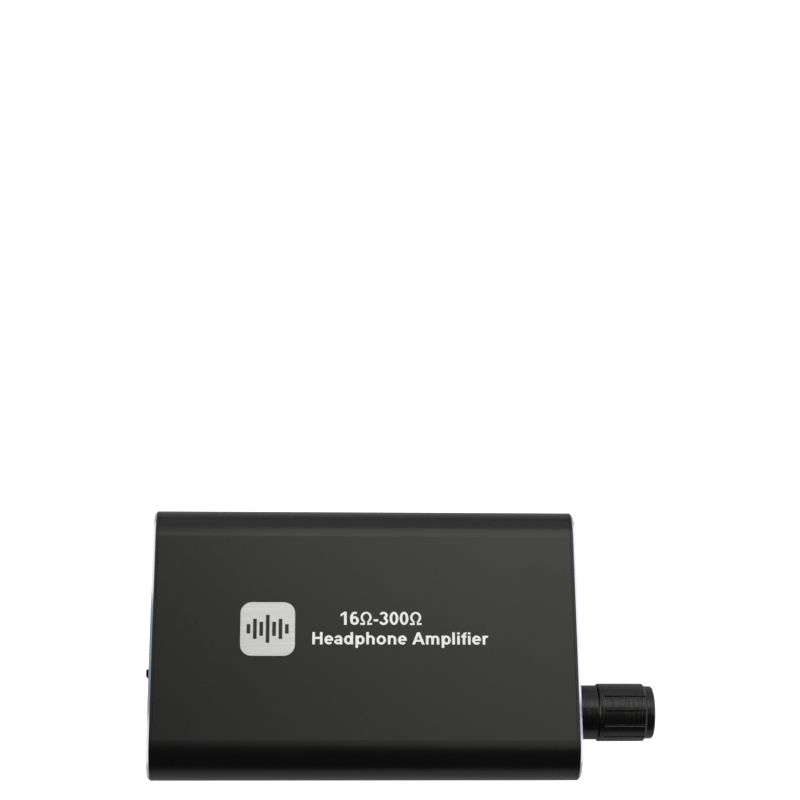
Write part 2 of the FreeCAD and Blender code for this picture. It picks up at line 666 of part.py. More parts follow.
def make_end_plate(doc, name, sign, draw_openings):
    """End plate with a bright bevelled edge, screw holes and its own openings."""
    body = make_body(doc, name)
    start = "tube_end" if sign > 0 else "-plate_face"
    outline = sketch(body, "YZ_Plane", start)
    draw_slot(doc, outline, "side_y", "side_radius", ("0", "mid_z"))
    blank = pad(body, outline, "plate_thick")
    inner, outer = value(doc, "tube_end"), value(doc, "plate_face")
    seam = bevel(body, blank, "edge_break", at_x(sign * inner))
    bevel(body, seam, "plate_cut", at_x(sign * outer))
    screws = sketch(body, "YZ_Plane", start)
    for side in ("", "-"):
        draw_circle(doc, screws, "screw_radius + screw_gap", (f"{side}boss_y", "mid_z"))
    drilled = pocket(body, screws, "plate_thick")
    hole = value(doc, "screw_radius + screw_gap")

    def screw_hole(bounds):
        """Say whether an edge is the outer end of a screw hole."""
        return at_x(sign * outer)(bounds) and abs(bounds.YLength - 2 * hole) < 1e-3

    bevel(body, drilled, "screw_head_radius - screw_radius", screw_hole)
    openings = sketch(body, "YZ_Plane", start)
    draw_openings(doc, openings)
    pocket(body, openings, "plate_thick")
    return body


def draw_front_openings(doc, drawing):
    """Draw the front plate's holes for the volume bush, the jacks and the lamp."""
    draw_circle(doc, drawing, "bush_radius + bush_gap", ("control_y", "mid_z"))
    for jack in ("output_y", "input_y"):
        draw_circle(doc, drawing, "jack_barrel + barrel_gap", (jack, "jack_z"))
    draw_circle(doc, drawing, "lamp_radius + lamp_gap", ("power_lamp_y", "lamp_z"))


def draw_rear_openings(doc, drawing):
    """Draw the rear plate's openings for the charging socket, the lamp and the gain switch."""
    half_span = "(usb_width - usb_height) / 2"
    draw_slot(doc, drawing, half_span, "usb_height / 2 + usb_gap", ("usb_y", "usb_z"))
    draw_circle(doc, drawing, "lamp_radius + lamp_gap", ("charge_lamp_y", "lamp_z"))
    half_width = "(nub_width / 2 + switch_travel / 2 + nub_gap)"
    half_height = "(nub_height / 2 + nub_gap)"
    across = (f"switch_y - {half_width}", f"switch_y + {half_width}")
    draw_rectangle(doc, drawing, across, (f"switch_z - {half_height}", f"switch_z + {half_height}"))


def make_plate_screws(doc):
    """Countersunk screws that hold the end plates, two at each end."""
    screws = []
    for sign in (1, -1):
        for side in ("", "-"):
            screws.append(make_plate_screw(doc, sign, f"{side}boss_y"))
    return group(doc, "plate_screws", screws)


def make_plate_screw(doc, sign, axis_y):
    """One countersunk screw with a cross recess, its point towards the case's middle."""
    name = f"plate_screw_{len(doc.Objects)}"
    inward = ALONG_MINUS_X if sign > 0 else ALONG_X
    face = "(plate_face - screw_head_sink)"
    spot = (f"{sign} * {face}", axis_y, "mid_z")
    radii = ("screw_head_radius - screw_gap", "screw_radius")
    head = cone(doc, name + "_head", radii, "screw_head_radius - screw_radius", spot, inward)
    shank = rod(doc, name + "_shank", "screw_radius", "screw_length", spot, inward)
    blank = fuse(doc, name + "_blank", [head, shank])
    span = (f"{face} - cross_depth", face)
    x_span = span if sign > 0 else from_rear(*span)
    blades = [
        box(doc, f"{name}_blade_{number}", x_span, square_span(axis_y, wide), square_span("mid_z", tall))
        for number, (wide, tall) in enumerate(
            (("cross_length", "cross_width"), ("cross_width", "cross_length"))
        )
    ]
    return cut(doc, name, blank, blades)


# Board ---------------------------------------------------------------------


def make_main_board(doc):
    """Board that slides in the rails, notched for the volume control."""
    body = make_body(doc, "main_board")
    outline = sketch(body, "XY_Plane", "board_low")
    draw_rectangle(doc, outline, ("-board_end", "board_end"), ("-board_edge", "board_edge"))
    pad(body, outline, "board_thick")
    notch = sketch(body, "XY_Plane", "board_low")
    across = square_span("control_y", "control_side + 2 * notch_gap")
    draw_rectangle(doc, notch, ("section_back - notch_gap", "board_end"), across)
    pocket(body, notch, "board_thick")
    return body


def make_chips(doc):
    """Amplifier chips: a moulded body with legs along two sides."""
    solids = []
    for number in range(2):
        y = f"{number} * chip_pitch - chip_pitch / 2"
        solids.append(make_chip(doc, f"amplifier_chip_{number + 1}", "chip_x", y, 4))
    return group(doc, "amplifier_chips", solids)


def make_charger_chip(doc):
    """Charging chip near the charging socket."""
    return make_chip(doc, "charger_chip", "charger_x", "charger_y", 3)


def make_chip(doc, name, x, y, legs):
    """One chip with a number of legs on each long side."""
    length = f"({legs} * leg_pitch)"
    top = "board_top + chip_lift + chip_height"
    body = box(
        doc,
        name + "_body",
        (f"{x} - {length} / 2", f"{x} + {length} / 2"),
        (f"{y} - chip_width / 2", f"{y} + chip_width / 2"),
        ("board_top + chip_lift", top),
    )
    pieces = [body]
    for number in range(legs):
        leg_x = f"({x} + {number - (legs - 1) / 2} * leg_pitch)"
        x_span = (f"{leg_x} - leg_width / 2", f"{leg_x} + leg_width / 2")
        for sign in ("+", "-"):
            near = f"{y} {sign} chip_width / 2"
            far = f"{y} {sign} leg_span / 2"
            knee = f"{y} {sign} (chip_width / 2 + leg_thick)"
            rise = ("board_top", "board_top + chip_lift + chip_height / 2")
            reach = (near, far) if sign == "+" else (far, near)
            stand = (near, knee) if sign == "+" else (knee, near)
            tag = f"{name}_leg_{number}_{'a' if sign == '+' else 'b'}"
            pieces.append(box(doc, tag, x_span, stand, rise))
            pieces.append(box(doc, tag + "_foot", x_span, reach, ("board_top", "board_top + leg_thick")))
    return fuse(doc, name, pieces)


def make_storage_capacitors(doc):
    """Round storage capacitors, each on its square base."""
    solids = []
    for number in range(int(value(doc, "can_count"))):
        x = f"(can_x + {number} * can_pitch)"
        base = box(
            doc,
            f"capacitor_base_{number}",
            (f"{x} - can_radius", f"{x} + can_radius"),
            ("can_y - can_radius", "can_y + can_radius"),
            ("board_top", "board_top + can_base"),
        )
        spot = (x, "can_y", "board_top")
        can = rod(doc, f"capacitor_can_{number}", "can_radius", "can_height", spot, UPRIGHT)
        solids.append(fuse(doc, f"capacitor_{number}", [base, can]))
    return group(doc, "storage_capacitors", solids)


def make_supply_coil(doc):
    """Shielded coil of the supply, its corners bevelled."""
    body = make_body(doc, "supply_coil")
    outline = sketch(body, "XY_Plane", "board_top")
    draw_rectangle(doc, outline, square_span("coil_x", "coil_side"), square_span("coil_y", "coil_side"))
    block = pad(body, outline, "coil_height")
    bevel(body, block, "coil_side / 8", lambda bounds: bounds.ZLength > 1e-3)
    return body


def make_small_parts(doc):
    """Resistors and ceramic capacitors in columns and rows."""
    solids = []
    for column in range(int(value(doc, "small_columns"))):
        for row in range(int(value(doc, "small_rows"))):
            x = f"(small_x + {column} * small_pitch_x)"
            y = f"(small_y + {row} * small_pitch_y)"
            solids.append(
                box(
                    doc,
                    f"small_part_{column}_{row}",
                    (f"{x} - small_length / 2", f"{x} + small_length / 2"),
                    (f"{y} - small_width / 2", f"{y} + small_width / 2"),
                    ("board_top", "board_top + small_height"),
                )
            )
    return group(doc, "small_parts", solids)


# Jacks and lamps -----------------------------------------------------------


def contact_places():
    """Give each jack contact's place along the axis and the side it stands on."""
    for number, side in enumerate(("+", "-", "+")):
        yield number, f"(jack_back + contact_first + {number} * contact_pitch)", side


def make_jack(doc, name, axis_y):
    """Jack's moulded block and barrel, bored for the plug and slotted for its contacts."""
    axis = (axis_y, "jack_z")
    block = box(
        doc,
        name + "_block",
        ("jack_back", "jack_front"),
        (f"{axis_y} - jack_width / 2", f"{axis_y} + jack_width / 2"),
        ("board_top", "board_top + jack_height"),
    )
    reach = "plate_face - barrel_sink - jack_front"
    barrel = rod(doc, name + "_barrel", "jack_barrel", reach, ("jack_front", *axis))
    bore = rod(
        doc,
        name + "_bore",
        "jack_bore",
        "plate_face - jack_back - jack_end_wall",
        ("jack_back + jack_end_wall", *axis),
    )
    slots = []
    for number, x, side in contact_places():
        near, far = f"{axis_y}", f"{axis_y} {side} jack_width"
        slots.append(
            box(
                doc,
                f"{name}_slot_{number}",
                (f"{x} - contact_width / 2 - contact_gap", f"{x} + contact_width / 2 + contact_gap"),
                (near, far) if side == "+" else (far, near),
                ("jack_z - contact_height / 2 - contact_gap", "jack_z + contact_height / 2 + contact_gap"),
            )
        )
    return cut(doc, name, fuse(doc, name + "_blank", [block, barrel]), [bore, *slots])


def make_jack_contacts(doc, name, axis_y):
    """Spring contacts beside a jack's bore, each with a leg and a soldered foot."""
    solids = []
    for number, x, side in contact_places():
        x_span = (f"{x} - contact_width / 2", f"{x} + contact_width / 2")
        blade_in = f"{axis_y} {side} (jack_bore + contact_back)"
        leg_in = f"{axis_y} {side} jack_width / 2"
        leg_out = f"{axis_y} {side} (jack_width / 2 + terminal_thick)"
        foot_out = f"{axis_y} {side} (jack_width / 2 + contact_foot)"
        spans = {
            "blade": ((blade_in, leg_out), ("jack_z - contact_height / 2", "jack_z + contact_height / 2")),
            "leg": ((leg_in, leg_out), ("board_top", "jack_z + contact_height / 2")),
            "foot": ((leg_in, foot_out), ("board_top", "board_top + terminal_thick")),
        }
        pieces = [
            box(doc, f"{name}_{part}_{number}", x_span, y_span if side == "+" else y_span[::-1], z_span)
            for part, (y_span, z_span) in spans.items()
        ]
        solids.append(fuse(doc, f"{name}_{number}", pieces))
    return group(doc, name, solids)


def make_lamp(doc, name, sign, axis_y):
    """Round indicator lamp with a domed tip in its plate's hole."""
    outward = ALONG_X if sign > 0 else ALONG_MINUS_X
    spot = (f"{sign} * (lamp_tip - lamp_length)", axis_y, "lamp_z")
    barrel = rod(doc, name + "_barrel", "lamp_radius", "lamp_length - lamp_radius", spot, outward)
    middle = (f"{sign} * (lamp_tip - lamp_radius)", axis_y, "lamp_z")
    dome = ball(doc, name + "_dome", "lamp_radius", middle)
    return fuse(doc, name, [barrel, dome])


def make_lamp_legs(doc):
    """Bent legs that carry the lamps above the board, two to a lamp."""
    solids = []
    for sign, axis_y in ((1, "power_lamp_y"), (-1, "charge_lamp_y")):
        for side in ("+", "-"):
            y = f"({axis_y} {side} lamp_leg_pitch / 2)"
            y_span = (f"{y} - lamp_leg / 2", f"{y} + lamp_leg / 2")
            near = f"{sign} * (lamp_tip - lamp_length)"
            far = f"{sign} * (lamp_tip - lamp_length - 2 * lamp_leg)"
            knee = f"{sign} * (lamp_tip - lamp_length - lamp_leg)"
            reach = (far, near) if sign > 0 else (near, far)
            stand = (far, knee) if sign > 0 else (knee, far)
            z_span = ("lamp_z - lamp_leg / 2", "lamp_z + lamp_leg / 2")
            tag = f"lamp_leg_{len(solids)}"
            arm = box(doc, tag + "_arm", reach, y_span, z_span)
            post = box(doc, tag + "_post", stand, y_span, ("board_top", "lamp_z + lamp_leg / 2"))
            solids.append(fuse(doc, tag, [arm, post]))
    return group(doc, "lamp_legs", solids)


# Volume control ------------------------------------------------------------


def draw_control_square(doc, drawing):
    """Draw the volume control's square section."""
    sides = [square_span(centre, "control_side") for centre in ("control_y", "mid_z")]
    draw_rectangle(doc, drawing, *sides)


def make_volume_can(doc):
    """Control's can, open at the back, with the bush that guides the shaft."""
    spot = ("control_y", "mid_z")
    sides = (square_span("control_y", "control_side"), square_span("mid_z", "control_side"))
    block = box(doc, "volume_can_block", ("track_face", "control_front"), *sides)
    reach = "plate_face - bush_sink - track_face"
    bush = rod(doc, "volume_can_bush", "bush_radius", reach, ("track_face", *spot))
    inner_side = "control_side - 2 * control_wall"
    room = (square_span("control_y", inner_side), square_span("mid_z", inner_side))
    hollow = box(doc, "volume_can_room", ("track_face", "control_front - 2 * control_wall"), *room)
    guide = "neck_radius + turning_gap"
    bore = rod(doc, "volume_can_bore", guide, "2 * control_depth", ("track_face", *spot))
    return cut(doc, "volume_can", fuse(doc, "volume_can_blank", [block, bush]), [hollow, bore])


def make_volume_track(doc):
    """Wafer with the resistive tracks, which closes the can."""
    body = make_body(doc, "volume_track")
    outline = sketch(body, "YZ_Plane", "track_face - track_thick")
    draw_control_square(doc, outline)
    pad(body, outline, "track_thick")
    return body


def make_power_section(doc):
    """Sealed on-off section behind the wafer."""
    body = make_body(doc, "power_section")
    outline = sketch(body, "YZ_Plane", "section_back")
    draw_control_square(doc, outline)
    block = pad(body, outline, "power_depth")
    bevel(body, block, "control_wall", at_x(value(doc, "section_back")))
    return body


def make_volume_terminals(doc):
    """Flat terminals from the on-off section to the board."""
    solids = []
    for number in range(4):
        y = f"(control_y + {number - 1.5} * terminal_pitch)"
        y_span = square_span(y, "terminal_width")
        post = box(
            doc,
            f"volume_terminal_post_{number}",
            ("section_back - terminal_thick", "section_back"),
            y_span,
            ("board_top", "board_top + 2 * terminal_width"),
        )
        foot = box(
            doc,
            f"volume_terminal_foot_{number}",
            ("section_back - terminal_reach", "section_back"),
            y_span,
            ("board_top", "board_top + terminal_thick"),
        )
        solids.append(fuse(doc, f"volume_terminal_{number}", [post, foot]))
    return group(doc, "volume_terminals", solids)


def make_volume_rotor(doc):
    """Rotor disc on the shaft, which carries the wiper."""
    spot = ("rotor_low", "control_y", "mid_z")
    disc = rod(doc, "volume_rotor_disc", "rotor_radius", "rotor_thick", spot)
    bore = rod(doc, "volume_rotor_bore", "neck_radius", "rotor_thick", spot)
    return cut(doc, "volume_rotor", disc, [bore])


def make_volume_shaft(doc):
    """Shaft: a neck in the bush, a shoulder, and a stretch with a flat for the set screw."""
    spot = ("control_y", "mid_z")
    neck = rod(doc, "volume_shaft_neck", "neck_radius", "shaft_end - rotor_low", ("rotor_low", *spot))
    stem = rod(doc, "volume_shaft_stem", "shaft_radius", "shaft_reach", ("shoulder_x", *spot))
    blank = fuse(doc, "volume_shaft_blank", [neck, stem])
    below = ("mid_z - 2 * shaft_radius", "mid_z - shaft_radius + shaft_flat")
    across = square_span("control_y", "4 * shaft_radius")
    flat = box(doc, "volume_shaft_flat", ("shoulder_x", "shaft_end"), across, below)
    return cut(doc, "volume_shaft", blank, [flat])


def make_volume_knob(doc):
    """Turned knob: collar, grooved grip and nose, bored from the back for the shaft."""
    body = make_body(doc, "volume_knob", ("0", "control_y", "mid_z"))
    profile = sketch(body, "XZ_Plane")
    bore = "shaft_radius + knob_fit"
    bore_end = "shaft_end + knob_end_gap"
    outline = [
        ("knob_back", bore),
        ("knob_back", "collar_radius"),
        ("grip_back", "collar_radius"),
        ("grip_back + grip_cut", "grip_radius"),
        ("grip_front - grip_cut", "grip_radius"),
        ("grip_front", "grip_radius - grip_cut"),
        ("grip_front", "nose_radius"),
        ("knob_front", "nose_radius"),
        ("knob_front", "0"),
        (bore_end, "0"),
        (bore_end, bore),
    ]
    draw_outline(doc, profile, outline)
    turned = body.newObject("PartDesign::Revolution", "Revolution")
    turned.Profile = profile
    turned.ReferenceAxis = (profile, ["H_Axis"])
    doc.recompute()
    front = value(doc, "knob_front")
    rounding(body, turned, "nose_round", at_x(front))
    cutter = sketch(body, "YZ_Plane", "grip_back + groove_start")
    mouth = "grip_radius + groove_depth"
    corners = []
    for across, out in ((0, "grip_radius - groove_depth"), (1, mouth), (-1, mouth)):
        along = f"{across} * groove_width"
        y_text = f"{along} * cos(groove_turn) - ({out}) * sin(groove_turn)"
        z_text = f"{along} * sin(groove_turn) + ({out}) * cos(groove_turn)"
        corners.append((y_text, z_text))
    draw_outline(doc, cutter, corners)
    groove = pocket(body, cutter, "grip_length - groove_start")
    before = body.Shape.Volume
    pattern = body.newObject("PartDesign::PolarPattern", "PolarPattern")
    pattern.Originals = [groove]
    x_line = next(item for item in body.Origin.OriginFeatures if item.Role == "X_Axis")
    pattern.Axis = (x_line, [""])
    pattern.Angle = 360
    bind(pattern, Occurrences="groove_count")
    body.Tip = pattern
    doc.recompute()
    if not body.Shape.Volume < before:
        raise ValueError("volume_knob: the grooves repeat nothing")
    hole = sketch(body, "XY_Plane", "-collar_radius - set_screw_sink")
    draw_circle(doc, hole, "set_screw_radius", ("set_screw_x", "0"))
    pocket(body, hole, "collar_radius + set_screw_sink")
    return body


def make_knob_set_screw(doc):
    """Set screw in the knob's collar, its tip on the shaft's flat."""
    top = "mid_z - shaft_radius + shaft_flat"
    length = "collar_radius - set_screw_sink - shaft_radius + shaft_flat"
    spot = ("set_screw_x", "control_y", top)
    body = rod(doc, "set_screw_blank", "set_screw_radius - knob_fit", length, spot, DOWNWARDS)
    socket = doc.addObject("Part::Prism", "set_screw_socket")
    bind(socket, Circumradius="hex_flats / sqrt(3)", Height="hex_depth")
    place(socket, ("set_screw_x", "control_y", "mid_z - collar_radius + set_screw_sink"))
    return cut(doc, "knob_set_screw", body, [socket])


# Gain switch ---------------------------------------------------------------


def make_switch_frame(doc):
    """Gain switch's metal frame, open at the back, with a window for the nub."""
    sides = (square_span("switch_y", "switch_width"), square_span("switch_z", "switch_height"))
    block = box(doc, "switch_block", from_rear("switch_back", "switch_front"), *sides)
    inner = (
        square_span("switch_y", "switch_width - 2 * switch_wall"),
        square_span("switch_z", "switch_height - 2 * switch_wall"),
    )
    hollow = box(doc, "switch_hollow", from_rear("switch_back", "switch_front - switch_wall"), *inner)
    opening = (
        square_span("switch_y", "nub_width + switch_travel + 2 * nub_gap"),
        square_span("switch_z", "nub_height + 2 * nub_gap"),
    )
    window = box(doc, "switch_window", from_rear("switch_back", "switch_front"), *opening)
    return cut(doc, "gain_switch_frame", block, [hollow, window])


def make_switch_base(doc):
    """Insulating base that closes the back of the gain switch's frame."""
    sides = (
        square_span("switch_y", "switch_width - 2 * switch_wall"),
        square_span("switch_z", "switch_height - 2 * switch_wall"),
    )
    return box(doc, "gain_switch_base", from_rear("switch_back", "switch_back + base_thick"), *sides)


def make_switch_terminals(doc):
    """Terminals from the gain switch's base to the board."""
    solids = []
    for number in range(3):
        y_span = square_span(f"(switch_y + {number - 1} * terminal_pitch)", "terminal_width")
        post = box(
            doc,
            f"switch_terminal_post_{number}",
            from_rear("switch_back - terminal_thick", "switch_back"),
            y_span,
            ("board_top", "switch_z"),
        )
        foot = box(
            doc,
            f"switch_terminal_foot_{number}",
            from_rear("switch_back - terminal_reach / 2", "switch_back"),
            y_span,
            ("board_top", "board_top + terminal_thick"),
        )
        solids.append(fuse(doc, f"switch_terminal_{number}", [post, foot]))
    return group(doc, "gain_switch_terminals", solids)


def make_gain_slider(doc):
    """Gain slider: a rounded nub through the plate and a block inside the frame."""
    body = make_body(doc, "gain_slider", ("0", "slider_y", "switch_z"))
    half_width, half_height = "nub_width / 2", "nub_height / 2"
    nub_shape = sketch(body, "YZ_Plane", "-(plate_face + nub_proud)")
    draw_rectangle(doc, nub_shape, (f"-{half_width}", half_width), (f"-{half_height}", half_height))
    nub = pad(body, nub_shape, "plate_face + nub_proud - block_front")
    outer = -value(doc, "plate_face + nub_proud")
    rounding(body, nub, "nub_round", lambda bounds: at_x(outer)(bounds) and bounds.ZLength > 1e-3)
    block_shape = sketch(body, "YZ_Plane", "-block_front")
    draw_rectangle(
        doc,
        block_shape,
        ("-block_width / 2", "block_width / 2"),
        ("-block_height / 2", "block_height / 2"),
    )
    pad(body, block_shape, "block_depth")
    return body


def make_gain_clip(doc):
    """Bridging clip that the slider carries over the switch's contacts."""
    sides = (square_span("slider_y", "clip_width"), square_span("switch_z", "clip_height"))
    return box(doc, "gain_clip", from_rear("switch_back + base_thick + clip_gap", "block_back"), *sides)


# Charging socket -----------------------------------------------------------


def make_usb_shell(doc):
    """Charging socket's shell: a flat-oval tube."""
    body = make_body(doc, "charging_shell")
    half_span = "(usb_width - usb_height) / 2"
    outline = sketch(body, "YZ_Plane", "-usb_front")
    draw_slot(doc, outline, half_span, "usb_height / 2", ("usb_y", "usb_z"))
    pad(body, outline, "usb_length")
    hollow = sketch(body, "YZ_Plane", "-usb_front")
    draw_slot(doc, hollow, half_span, "usb_height / 2 - usb_wall", ("usb_y", "usb_z"))
    pocket(body, hollow, "usb_length")
    return body


def make_usb_tongue(doc):
    """Insulator in the back of the shell and the tongue that a plug goes round."""
    body = make_body(doc, "charging_tongue")
    half_span = "(usb_width - usb_height) / 2"
    block = sketch(body, "YZ_Plane", "-(usb_back + usb_block)")
    draw_slot(doc, block, half_span, "usb_height / 2 - usb_wall - usb_fit", ("usb_y", "usb_z"))
    pad(body, block, "usb_block")
    tongue = sketch(body, "YZ_Plane", "-(usb_back + usb_block + tongue_length)")
    draw_rectangle(doc, tongue, square_span("usb_y", "tongue_width"), square_span("usb_z", "tongue_thick"))
    pad(body, tongue, "tongue_length")
    return body


def make_usb_contacts(doc):
    """Contact pads in a row on each side of the tongue."""
    solids = []
    count = int(value(doc, "pad_count"))
    x_span = from_rear("usb_back + usb_block", "usb_back + usb_block + pad_length")
    faces = (
        ("usb_z + tongue_thick / 2", "usb_z + tongue_thick / 2 + pad_thick"),
        ("usb_z - tongue_thick / 2 - pad_thick", "usb_z - tongue_thick / 2"),
    )
    for number in range(count):
        y_span = square_span(f"(usb_y + {number - (count - 1) / 2} * pad_pitch)", "pad_width")
        for z_span in faces:
            solids.append(box(doc, f"charging_pad_{len(solids)}", x_span, y_span, z_span))
    return group(doc, "charging_contacts", solids)


# Battery -------------------------------------------------------------------


def make_battery_cell(doc):
    """Flat battery pouch with rounded long edges."""
    body = make_body(doc, "battery_cell")
    outline = sketch(body, "YZ_Plane", "battery_back")
    spans = (("battery_low_y", "battery_high_y"), ("tape_top", "battery_top"))
    draw_rectangle(doc, outline, *spans)
    block = pad(body, outline, "battery_front - battery_back")
    rounding(body, block, "battery_round", lambda bounds: bounds.XLength > 1)
    return body


def make_battery_tape(doc):
    """Foam tape that holds the battery on the board."""
    return box(
        doc,
        "battery_tape",
        ("battery_back + tape_inset", "battery_front - tape_inset"),
        ("battery_low_y + tape_inset", "battery_high_y - tape_inset"),
        ("board_top", "tape_top"),
    )


def make_battery_header(doc):
    """Header on the board that the battery's plug goes into."""
    block = box(
        doc,
        "header_block",
        ("header_x", "header_x + header_length"),
        square_span("header_y", "header_width"),
        ("board_top", "board_top + header_height"),
    )
    room = box(
        doc,
        "header_room",
        ("header_x", "header_x + header_length - header_wall"),
        square_span("header_y", "header_width - 2 * header_wall"),
        ("board_top + header_wall", "board_top + header_height - header_wall"),
    )
    return cut(doc, "battery_header", block, [room])


def make_battery_plug(doc):
    """Plug on the battery's leads, in its header."""
    return box(
        doc,
        "battery_plug",
        ("header_x - plug_out", "header_x + header_length - header_wall - plug_gap"),
        square_span("header_y", "header_width - 2 * header_wall - 2 * plug_gap"),
        ("board_top + header_wall + plug_gap", "board_top + header_height - header_wall - plug_gap"),
    )


def make_battery_lead(doc, name, side):
    """One lead from the battery's edge to its plug: straight, two equal bends, straight."""
    start = point(doc, "battery_front", f"lead_y {side} lead_pitch / 2", "header_z")
    end = point(doc, "header_x - plug_out", f"header_y {side} lead_pitch / 2", "header_z")
    run = FreeCAD.Vector(value(doc, "lead_run"), 0, 0)
    leave, arrive = start + run, end - run
    slant = arrive - leave
    angle = slant.getAngle(run)
    reach = value(doc, "lead_bend") * math.tan(angle / 2)
    way = FreeCAD.Vector(slant).normalize()
    forward = FreeCAD.Vector(1, 0, 0)
    edges = [Part.LineSegment(start, leave - forward * reach).toShape()]
    for corner, before, after in ((leave, forward, way), (arrive, way, forward)):
        first, last = corner - before * reach, corner + after * reach
        inward = (after - before).normalize()
        sagitta = value(doc, "lead_bend") * (1 / math.cos(angle / 2) - 1)
        edges.append(Part.Arc(first, corner + inward * sagitta, last).toShape())
        if corner is leave:
            edges.append(Part.LineSegment(last, arrive - way * reach).toShape())
    edges.append(Part.LineSegment(arrive + forward * reach, end).toShape())
    path = Part.Wire(edges)
    ring = Part.Wire([Part.makeCircle(value(doc, "lead_radius"), start, forward)])
    lead = doc.addObject("Part::Feature", name)
    lead.Shape = path.makePipeShell([ring], True, False)
    lead.Placement = FreeCAD.Placement()
    expected = math.pi * value(doc, "lead_radius") ** 2 * path.Length
    if abs(lead.Shape.Volume - expected) > 0.01 * expected:
        raise ValueError(f"{name}: volume is not its section times its length")
    return lead


# Assembly ------------------------------------------------------------------


def make_parts(doc):
    """Make every sub-part and return it by its node's name."""
    return {
        "case_tube": make_case_tube(doc),
        "front_plate": make_end_plate(doc, "front_plate", 1, draw_front_openings),
        "rear_plate": make_end_plate(doc, "rear_plate", -1, draw_rear_openings),
        "plate_screws": make_plate_screws(doc),
        "badge_plate": make_name_badge(doc),
        "main_board": make_main_board(doc),
        "amplifier_chips": make_chips(doc),
        "charger_chip": make_charger_chip(doc),
        "storage_capacitors": make_storage_capacitors(doc),
        "supply_coil": make_supply_coil(doc),
        "small_parts": make_small_parts(doc),
        "output_jack": make_jack(doc, "output_jack", "output_y"),
        "input_jack": make_jack(doc, "input_jack", "input_y"),
        "output_contacts": make_jack_contacts(doc, "output_contacts", "output_y"),
        "input_contacts": make_jack_contacts(doc, "input_contacts", "input_y"),
        "power_lamp": make_lamp(doc, "power_lamp", 1, "power_lamp_y"),
        "charge_lamp": make_lamp(doc, "charge_lamp", -1, "charge_lamp_y"),
        "lamp_legs": make_lamp_legs(doc),
        "volume_can": make_volume_can(doc),
        "volume_track": make_volume_track(doc),
        "power_section": make_power_section(doc),
        "volume_terminals": make_volume_terminals(doc),
        "volume_rotor": make_volume_rotor(doc),
        "volume_shaft": make_volume_shaft(doc),
        "volume_knob": make_volume_knob(doc),
        "knob_set_screw": make_knob_set_screw(doc),
        "gain_switch_frame": make_switch_frame(doc),
        "gain_switch_base": make_switch_base(doc),
        "gain_switch_terminals": make_switch_terminals(doc),
        "gain_slider": make_gain_slider(doc),
        "gain_clip": make_gain_clip(doc),
        "charging_shell": make_usb_shell(doc),
        "charging_tongue": make_usb_tongue(doc),
        "charging_contacts": make_usb_contacts(doc),
        "battery_cell": make_battery_cell(doc),
        "battery_tape": make_battery_tape(doc),
        "battery_header": make_battery_header(doc),
        "battery_plug": make_battery_plug(doc),
        "red_lead": make_battery_lead(doc, "red_lead", "+"),
        "black_lead": make_battery_lead(doc, "black_lead", "-"),
    }


def check_parts(doc, parts):
    """Stop if any object failed to compute or any sub-part isn't a valid solid."""
    for item in doc.Objects:
        if {"Invalid", "Error"} & set(item.State):
            raise ValueError(f"{item.Name} did not compute: {item.State}")
    for name, piece in parts.items():
        shape = piece.Shape
        if shape.isNull() or not shape.isValid() or not shape.Solids:
            raise ValueError(f"{name} is not a valid solid")


def main():
    """Build the document, check it and write each sub-part's STEP file."""
    doc = FreeCAD.newDocument("headphone_amplifier")
    make_sheets(doc)
    parts = make_parts(doc)
    doc.recompute()
    check_parts(doc, parts)
    os.makedirs("parts", exist_ok=True)
    for name, piece in parts.items():
        piece.Label = name
        piece.Shape.exportStep(f"parts/{name}.step")
        print(f"{name}: {len(piece.Shape.Solids)} solid(s), {piece.Shape.Volume:.2f} mm3")


main()
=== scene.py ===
"""Looks of the headphone amplifier: finishes, prints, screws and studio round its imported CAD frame."""

from __future__ import annotations

import logging
import math
from dataclasses import dataclass
from enum import Enum
from typing import Sequence

import bmesh
import bpy
from mathutils import Euler, Matrix, Vector
from mathutils.geometry import delaunay_2d_cdt


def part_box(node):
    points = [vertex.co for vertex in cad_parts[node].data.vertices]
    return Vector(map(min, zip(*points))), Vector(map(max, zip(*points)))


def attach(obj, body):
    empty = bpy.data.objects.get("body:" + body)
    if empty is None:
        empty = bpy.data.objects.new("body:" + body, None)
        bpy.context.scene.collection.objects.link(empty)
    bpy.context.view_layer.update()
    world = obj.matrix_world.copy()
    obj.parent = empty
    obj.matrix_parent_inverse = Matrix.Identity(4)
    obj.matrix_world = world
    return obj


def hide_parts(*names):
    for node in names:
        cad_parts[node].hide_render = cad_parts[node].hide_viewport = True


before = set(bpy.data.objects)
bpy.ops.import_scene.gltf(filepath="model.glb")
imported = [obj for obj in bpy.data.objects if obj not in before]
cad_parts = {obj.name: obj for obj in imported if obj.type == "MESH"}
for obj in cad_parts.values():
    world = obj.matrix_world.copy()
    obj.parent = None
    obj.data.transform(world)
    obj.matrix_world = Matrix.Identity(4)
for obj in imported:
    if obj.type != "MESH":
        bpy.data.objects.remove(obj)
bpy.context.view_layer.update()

LOG = logging.getLogger("amplifier")
MM = 0.001
CASE = "case"

Colour = tuple[float, float, float]
Socket = bpy.types.NodeSocket
Node = bpy.types.Node


class Facing(Enum):
    """The way that a printed mark looks out of the object."""

    UP = "up"
    FRONT = "front"
    REAR = "rear"

    @property
    def turn(self) -> Matrix:
        """The turn from a flat drawing, read from +Z with +Y up, to this face."""
        turns = {
            Facing.UP: Euler((0.0, 0.0, 0.0)),
            Facing.FRONT: Euler((math.pi / 2, 0.0, math.pi / 2)),
            Facing.REAR: Euler((math.pi / 2, 0.0, -math.pi / 2)),
        }
        return turns[self].to_matrix().to_4x4()


# ---------------------------------------------------------------- node trees


